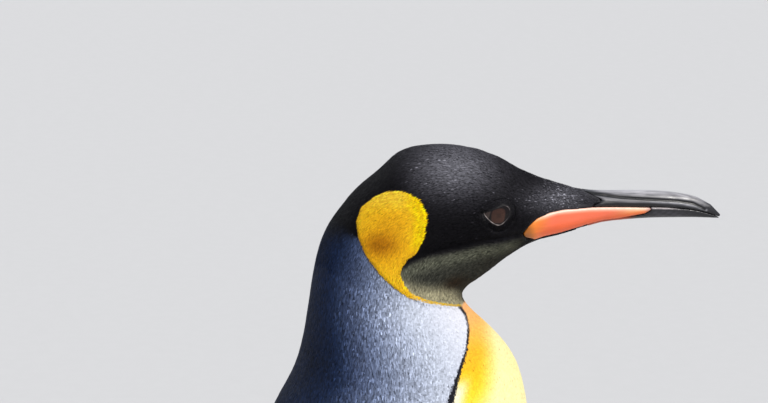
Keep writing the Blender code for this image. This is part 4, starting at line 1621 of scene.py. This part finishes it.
def round_the_eyes(roots, lie):
    """Turns the lie of the coat aside near the eyelids, so that no feather crosses the opening."""
    side, forward, drop = measures(roots)
    centre = np.mean(EYELIDS, axis=0)
    away = np.stack([np.zeros(len(roots)), -(forward - centre[0]), -(drop - centre[1])], -1)
    away /= np.maximum(np.linalg.norm(away, axis=1), 1e-6)[:, None]
    out = -inward_distance(EYELIDS, forward, drop)
    share = smoothstep(6.0, 1.5, out) * (np.abs(side) > OUTER_SIDE)
    inwards = np.minimum(np.einsum("ij,ij->i", lie, away), 0.0) - 0.35
    return lie - away * (share * inwards)[:, None]


class PENGUIN_OT_head_feathers(bpy.types.Operator):
    """Lays the short feathers of the head round the bill, the eyes and the golden patches"""

    bl_idname = "penguin.head_feathers"
    bl_label = "Head feathers"

    def execute(self, context):
        s = settings()
        rng = np.random.default_rng(s.seed)
        roots, outward, depth = scatter(s.head.spacing, owner_is("head"), s.seed)
        hard_distance = Solids(HARD).distance(roots)
        side, forward, drop = measures(roots)
        keep = Solids(BILL).distance(roots) > BILL_MARGIN
        keep &= patch_distance(roots + outward * MARK_HEIGHT) < PATCH_OVERLAP
        in_socket = np.hypot(forward - EYE_CENTRE[1], drop - EYE_CENTRE[2]) < EYE_RADIUS
        in_socket &= np.abs(side) < EYE_CENTRE[0] + SOCKET_DEPTH
        keep &= (inward_distance(EYELIDS, forward, drop) < -LID_MARGIN) & ~in_socket
        keep &= (forward <= LORE_END[0]) | (drop <= LORE_END[1])
        roots, outward, depth, hard_distance = kept(keep, roots, outward, depth, hard_distance)

        lie = round_the_eyes(roots, lie_of_coat(roots))
        feathers = lay_feathers(roots, outward, depth, s.head, rng, plain_body_colours, lie)
        _, forward, drop = measures(roots)
        feathers["length"] *= 1 - 0.25 * smoothstep(20, 75, forward)
        feathers["length"] *= 1 - 0.55 * smoothstep(0.006, 0.001, hard_distance)
        # Pale flecks, few at random and more on the lore: partly specks of water and dust, partly painted
        # glints of light.
        lore = mound(forward, drop, *LORE_FLECKS)
        fleck = (rng.uniform(0, 1, len(roots)) < 0.006 + 0.12 * lore) & (drop < 58)
        feathers["colour"][fleck] = np.clip(feathers["colour"][fleck] * 1.5 + 0.08, 0, 1)
        material = feather_material("head_feathers", (0.55, 0.75), 0.06)
        add_both_sides(feathers, material, ("head", "black_feathers", True))
        return {"FINISHED"}


class PENGUIN_OT_patch_feathers(bpy.types.Operator):
    """Lays the fine, slightly raised feathers of the golden patches"""

    bl_idname = "penguin.patch_feathers"
    bl_label = "Patch feathers"

    def execute(self, context):
        s = settings()
        rng = np.random.default_rng(s.seed + 1)
        near = patch_distance(read_vectors(coat_ground().vertices, "co")) > -5
        roots, outward, depth = scatter(s.patch.spacing, owner_is("head", "neck") & near, s.seed + 1)
        inside = patch_distance(roots + outward * MARK_HEIGHT)
        roots, outward, depth, inside = kept(inside > 0, roots, outward, depth, inside)

        def gold(points, outward):
            _, forward, drop = measures(points)
            return patch_colours(forward, drop, inside), np.full(len(points), PATCH_SPECKLE)

        _, forward, drop = measures(roots)
        on_line = on_throat_line(forward, drop)[:, None]
        lie = lie_of_coat(roots) * (1 - on_line) + np.array(ALONG_THROAT_LINE) * on_line
        feathers = lay_feathers(roots, outward, depth, s.patch, rng, gold, lie)
        feathers["rise"] += PATCH_RISE * smoothstep(0, 4, inside)
        feathers["length"] *= 0.35 + 0.65 * smoothstep(0, 5, inside)
        material = feather_material("patch_feathers", (0.6, 0.8), 0.15)
        add_both_sides(feathers, material, ("patch", "orange_plate", True))
        return {"FINISHED"}


class PENGUIN_OT_neck_feathers(bpy.types.Operator):
    """Lays the silvery feathers of the neck and the orange of the throat"""

    bl_idname = "penguin.neck_feathers"
    bl_label = "Neck feathers"

    def execute(self, context):
        s = settings()
        rng = np.random.default_rng(s.seed + 2)
        roots, outward, depth = scatter(s.neck.spacing, owner_is("neck"), s.seed + 2)
        keep = patch_distance(roots + outward * MARK_HEIGHT) < PATCH_OVERLAP
        roots, outward, depth = kept(keep, roots, outward, depth)
        feathers = lay_feathers(roots, outward, depth, s.neck, rng, plain_body_colours)
        _, forward, drop = measures(roots)
        turned = round_the_body(forward, drop)
        add_flecks(feathers, 0.3 * between(turned, (0.12, 0.24), (0.58, 0.34)), rng)
        sleek_front(feathers)
        material = feather_material("neck_feathers", (0.55, 0.75), 0.10)
        add_both_sides(feathers, material, ("neck", "slate_feathers", True))
        return {"FINISHED"}


class PENGUIN_OT_trunk_feathers(bpy.types.Operator):
    """Lays the feathers of the back, the flanks, the breast and the belly"""

    bl_idname = "penguin.trunk_feathers"
    bl_label = "Trunk feathers"

    def execute(self, context):
        s = settings()
        rng = np.random.default_rng(s.seed + 3)
        ground_drop = measures(read_vectors(coat_ground().vertices, "co"))[2]
        groups = []
        for index, (top, bottom, share) in enumerate(TRUNK_BANDS):
            here = (ground_drop > top - BAND_OVERLAP) & (ground_drop < bottom + BAND_OVERLAP)
            here &= owner_is("trunk")
            roots, outward, depth = scatter(s.trunk.spacing * share, here, s.seed + 30 + index)
            side, forward, drop = measures(roots)
            wavy = drop + 5 * np.sin(side * 0.31 + 2 * np.sin(forward * 0.17))
            keep = (wavy >= top) & (wavy < bottom)
            roots, outward, depth = kept(keep, roots, outward, depth)
            group = lay_feathers(roots, outward, depth, s.trunk, rng, plain_body_colours)
            group["length"] *= share
            group["width"] *= share
            sleek_front(group)
            groups.append(group)
        feathers = {key: np.concatenate([group[key] for group in groups]) for key in groups[0]}
        material = feather_material("trunk_feathers", (0.55, 0.75), 0.10)
        _, forward, drop = measures(feathers["roots"])
        ahead = inward_distance(FRONT_ZONE, forward, drop) > 0
        front, back = ("front", "white_feathers", ahead), ("back", "slate_feathers", ~ahead)
        add_both_sides(feathers, material, front, back)
        return {"FINISHED"}


class PENGUIN_OT_wing_feathers(bpy.types.Operator):
    """Lays the small scale-like feathers of both flippers"""

    bl_idname = "penguin.wing_feathers"
    bl_label = "Wing feathers"

    def execute(self, context):
        s = settings()
        rng = np.random.default_rng(s.seed + 4)
        material = feather_material("wing_feathers", (0.45, 0.6), 0.35)
        for name, sign in SIDES.items():
            roots, outward, depth = scatter(s.wing.spacing, owner_is(f"wing_{name}"), s.seed + 4)
            lie = np.broadcast_to(WING_LIE, roots.shape)
            feathers = lay_feathers(roots, outward, depth, s.wing, rng, wing_colours, lie)
            outer = outward[:, 0] * sign > 0
            _, forward, drop = measures(roots)
            u = 0.5 * fitted(forward) + np.where(outer, 0.0, 0.5)
            add_feathers(f"coat_wing_{name}", "slate_feathers", material, feathers, (u, fitted(drop)))
        return {"FINISHED"}


class PENGUIN_OT_leg_feathers(bpy.types.Operator):
    """Lays the feathers of the shanks down over the ankles"""

    bl_idname = "penguin.leg_feathers"
    bl_label = "Leg feathers"

    def execute(self, context):
        s = settings()
        rng = np.random.default_rng(s.seed + 5)
        material = feather_material("leg_feathers", (0.45, 0.65), 0.4, 0.05)
        for name in SIDES:
            roots, outward, depth = scatter(s.leg.spacing, owner_is(f"leg_{name}"), s.seed + 5)
            lie = np.broadcast_to((0.0, 0.0, -1.0), roots.shape)
            feathers = lay_feathers(roots, outward, depth, s.leg, rng, leg_colours, lie)
            across, ahead, _ = (roots - roots.mean(0)).T
            unwrap = fitted(np.arctan2(across, ahead)), fitted(roots[:, 2])
            add_feathers(f"coat_leg_{name}", "black_feathers", material, feathers, unwrap)
        return {"FINISHED"}


# Across a quill: its width at shares of its length, from the calamus to the point.
QUILL = [(0.0, 0.5), (0.12, 0.8), (0.35, 1.0), (0.7, 0.95), (0.88, 0.66), (0.96, 0.34), (1.0, 0.06)]
QUILL_WIDTH = 0.0115
QUILLS_EACH_LAYER = 9
QUILL_RINGS = 13
QUILL_ROOT = 0.20           # share of the tail where the quills start
QUILL_FAN = (0.019, 0.009)  # half the fan's width at its start, and how much it widens
OUTER_QUILLS = 0.24         # how much shorter the fan's outer quills are
QUILL_GAP = 0.001           # between the quills and the floor
QUILL_DROOP = 0.0005
QUILL_HALF_THICKNESS = 0.00045
# Down the tail: share of its length, and half the thickness of its flesh.
TAIL_HALF = [(0, 0.0185), (0.25, 0.0125), (0.5, 0.0075), (0.75, 0.0042), (1.0, 0.0021)]


def tail_axes():
    """The tail's root, its length, and its directions along, across and up."""
    root, tip = place(0, *TAIL_ROOT), place(0, *TAIL_TIP)
    length = np.linalg.norm(tip - root)
    run = (tip - root) / length
    across = np.array((1.0, 0.0, 0.0))
    up = np.cross(across, run)
    return root, length, run, across, up * np.sign(up[1])


def one_quill(layer, t, reach):
    """A quill's rings of four points and its shades: t is its place in the fan, from -1 to 1."""
    root, length, run, across, up = tail_axes()
    end = (1.0 - OUTER_QUILLS * t * t) * reach
    along = QUILL_ROOT + (end - QUILL_ROOT) * np.linspace(0, 1, QUILL_RINGS)
    share = (along - QUILL_ROOT) / (end - QUILL_ROOT)
    middle = t * (QUILL_FAN[0] + QUILL_FAN[1] * share)
    height = layer * (read_line(TAIL_HALF, along) - 0.0012 + 0.0008 * (1 - abs(t)))
    height = np.where(along > 0.9, height * 0.75, height)
    centre = root + run * (along * length)[:, None]
    centre = centre + across * middle[:, None] + up * height[:, None]
    edge = across * (QUILL_WIDTH * read_line(QUILL, share) / 2)[:, None]
    droop = up * (layer * QUILL_DROOP)
    thick = up * (layer * QUILL_HALF_THICKNESS)
    rings = np.stack([centre - edge - droop, centre + thick, centre + edge - droop, centre - thick], 1)
    shades = np.ones((QUILL_RINGS, 4))
    shades[:, 1] = 1.6
    return rings, shades * (0.85 + 0.3 * share)[:, None]


def tail_quills():
    """Long stiff feathers in two fanned layers, as points, faces, shades and roots."""
    last = 4 * (QUILL_RINGS - 1)
    ends = [(0, 1, 2, 3), (last + 3, last + 2, last + 1, last)]
    quads = np.concatenate([ring_faces(QUILL_RINGS, 4, -1, False), ends])
    points, faces, shades, roots = [], [], [], []
    for layer, reach in ((1, 1.0), (-1, 0.93)):
        turned = quads[:, ::-1] if layer > 0 else quads
        for t in 2 * np.arange(QUILLS_EACH_LAYER) / (QUILLS_EACH_LAYER - 1) - 1:
            rings, tone = one_quill(layer, t, reach)
            faces.append(halved(turned) + 4 * QUILL_RINGS * len(points))
            points.append(rings.reshape(-1, 3))
            shades.append(tone.reshape(-1))
            roots.append(rings[0].mean(0))
    return np.concatenate(points), np.concatenate(faces), np.concatenate(shades), np.array(roots)


class PENGUIN_OT_tail_feathers(bpy.types.Operator):
    """Lays the tail's coverts and its stiff quills"""

    bl_idname = "penguin.tail_feathers"
    bl_label = "Tail feathers"

    def execute(self, context):
        s = settings()
        rng = np.random.default_rng(s.seed + 6)
        material = feather_material("tail_feathers", (0.42, 0.6), 0.35)
        roots, outward, depth = scatter(s.tail.spacing, owner_is("tail"), s.seed + 6)
        keep = tail_place(roots) < COVERTS_REACH + rng.uniform(-0.08, 0.08, len(roots))
        roots, outward, depth = kept(keep, roots, outward, depth)
        lie = np.broadcast_to(tail_axes()[2], roots.shape)
        feathers = lay_feathers(roots, outward, depth, s.tail, rng, tail_colours, lie)
        unwrap = fitted(roots[:, 0]), fitted(roots[:, 2])
        add_feathers("coat_tail", "black_feathers", material, feathers, unwrap)

        points, faces, shades, quill_roots = tail_quills()
        points[:, 2] = np.maximum(points[:, 2], QUILL_GAP)
        mesh = write_mesh("coat_quills", points, faces)
        paint(mesh, display(s.colours.tail) * shades[:, None])
        quill, corner = np.divmod(np.arange(len(points)), 4 * QUILL_RINGS)
        spots = np.stack([fitted(quill_roots[:, 0])[quill], fitted(quill_roots[:, 1])[quill]], -1)
        spots[:, 0] += TUFT_PATCH * np.array((-0.5, 0, 0.5, 0))[corner % 4]
        spots[:, 1] += TUFT_PATCH * (corner // 4 / (QUILL_RINGS - 1) - 0.5)
        set_bake_map(mesh, spots, faces)
        add_piece(mesh, "coat_quills", material, "black_feathers")
        return {"FINISHED"}


# ---------------------------------------------------------------------------------------------
# Stage
# ---------------------------------------------------------------------------------------------

FLOOR_HALF = 80.0
FLOOR_SINK = 0.0002                 # below the feet
FLOOR_SHADES = (0.50, 0.52)
SURROUND = (0.86, 0.90, 1.0, 1)     # tint of the light from all round
# Suns: their name, where they come from, how wide they are in radians, and their tint.
SUNS = [
    ("key", (-0.85, -0.75, 1.25), 0.22, (1.0, 0.97, 0.92)),
    ("fill", (1.0, 0.9, 0.9), 0.7, (0.95, 0.97, 1.0)),
]
LOOK_AT = (0.0, -37.8, 38.5)        # side, forward, drop
AZIMUTH = math.radians(266)
ELEVATION = math.radians(10)


class PENGUIN_OT_stage(bpy.types.Operator):
    """Sets the pale floor, the soft lights and the camera"""

    bl_idname = "penguin.stage"
    bl_label = "Stage"

    def execute(self, context):
        self.add_floor(context.scene)
        self.add_light(context.scene)
        self.add_camera(context.scene)
        context.scene.view_settings.view_transform = "Standard"
        return {"FINISHED"}

    def add_floor(self, scene):
        """A wide pale floor, faintly mottled."""
        outline = [(-1, -1, 0), (1, -1, 0), (1, 1, 0), (-1, 1, 0)]
        mesh = write_mesh("floor", FLOOR_HALF * np.array(outline), np.array([(0, 1, 2, 3)]))
        material, tree, shader = new_material("floor")
        shader.inputs["Roughness"].default_value = 0.8
        shader.inputs["Specular IOR Level"].default_value = 0.2
        tone = tree.nodes.new("ShaderNodeMix")
        tone.data_type = "RGBA"
        for socket, grey in zip((6, 7), FLOOR_SHADES):
            tone.inputs[socket].default_value = (grey, grey, grey, 1)
        tree.links.new(noise(tree, 40.0, 2.0), tone.inputs[0])
        tree.links.new(tone.outputs[2], shader.inputs["Base Color"])
        mesh.materials.append(material)
        floor = bpy.data.objects.new("floor", mesh)
        floor.location.z = -FLOOR_SINK
        scene.collection.objects.link(floor)

    def add_light(self, scene):
        """A pale surround, a main sun from the front and a weaker one from behind."""
        world = bpy.data.worlds.new("surround")
        world.use_nodes = True
        background = world.node_tree.nodes["Background"]
        background.inputs["Color"].default_value = SURROUND
        background.inputs["Strength"].default_value = settings().stage.sky
        scene.world = world
        for name, source, angle, tint in SUNS:
            lamp = bpy.data.lights.new(name, "SUN")
            lamp.energy = getattr(settings().stage, name)
            lamp.angle = angle
            lamp.color = tint
            light = bpy.data.objects.new(name, lamp)
            light.rotation_mode = "QUATERNION"
            light.rotation_quaternion = Vector(source).to_track_quat("Z", "Y")
            scene.collection.objects.link(light)

    def add_camera(self, scene):
        """A long lens that looks at the neck from the bird's right and a little above."""
        back = Vector((
            math.sin(AZIMUTH) * math.cos(ELEVATION),
            -math.cos(AZIMUTH) * math.cos(ELEVATION),
            math.sin(ELEVATION),
        ))
        lens = bpy.data.cameras.new("camera")
        lens.lens = settings().stage.lens
        lens.sensor_width = 36.0
        lens.clip_start = 0.1
        lens.clip_end = 400.0
        camera = bpy.data.objects.new("camera", lens)
        camera.location = Vector(place(*LOOK_AT)) + back * settings().stage.distance
        camera.rotation_mode = "QUATERNION"
        camera.rotation_quaternion = back.to_track_quat("Z", "Y")
        scene.collection.objects.link(camera)
        scene.camera = camera


class PENGUIN_PT_panel(bpy.types.Panel):
    """Lists the penguin's pieces"""

    bl_idname = "PENGUIN_PT_panel"
    bl_label = "King Penguin"
    bl_space_type = "VIEW_3D"
    bl_region_type = "UI"
    bl_category = "Penguin"

    def draw(self, context):
        column = self.layout.column()
        for operator in PIECES:
            column.operator(operator.bl_idname)
        for field in ("cell", "bill_cell", "seed"):
            column.prop(settings(), field)
        for name in ("head", "patch", "neck", "trunk", "wing", "leg", "tail", "colours", "stage"):
            group = getattr(settings(), name)
            box = self.layout.box()
            box.label(text=name.title())
            for field in type(group).__annotations__:
                box.prop(group, field)


PIECES = [
    PENGUIN_OT_skin,
    PENGUIN_OT_eyes,
    PENGUIN_OT_bill,
    PENGUIN_OT_claws,
    PENGUIN_OT_head_feathers,
    PENGUIN_OT_patch_feathers,
    PENGUIN_OT_neck_feathers,
    PENGUIN_OT_trunk_feathers,
    PENGUIN_OT_wing_feathers,
    PENGUIN_OT_leg_feathers,
    PENGUIN_OT_tail_feathers,
    PENGUIN_OT_stage,
]
GROUPS = [
    PenguinHeadFeathers,
    PenguinPatchFeathers,
    PenguinNeckFeathers,
    PenguinTrunkFeathers,
    PenguinWingFeathers,
    PenguinLegFeathers,
    PenguinTailFeathers,
    PenguinColours,
    PenguinStage,
    PenguinSettings,
]
CLASSES = [*GROUPS, *PIECES, PENGUIN_PT_panel]


def register():
    """Adds the penguin's classes and settings."""
    for cls in CLASSES:
        bpy.utils.register_class(cls)
    bpy.types.Scene.king_penguin = PointerProperty(type=PenguinSettings)


def unregister():
    """Takes them away again."""
    del bpy.types.Scene.king_penguin
    for cls in reversed(CLASSES):
        bpy.utils.unregister_class(cls)


def main():
    """Makes all the pieces in order."""
    register()
    for operator in PIECES:
        group, name = operator.bl_idname.split(".")
        getattr(getattr(bpy.ops, group), name)()


if __name__ == "__main__":
    main()
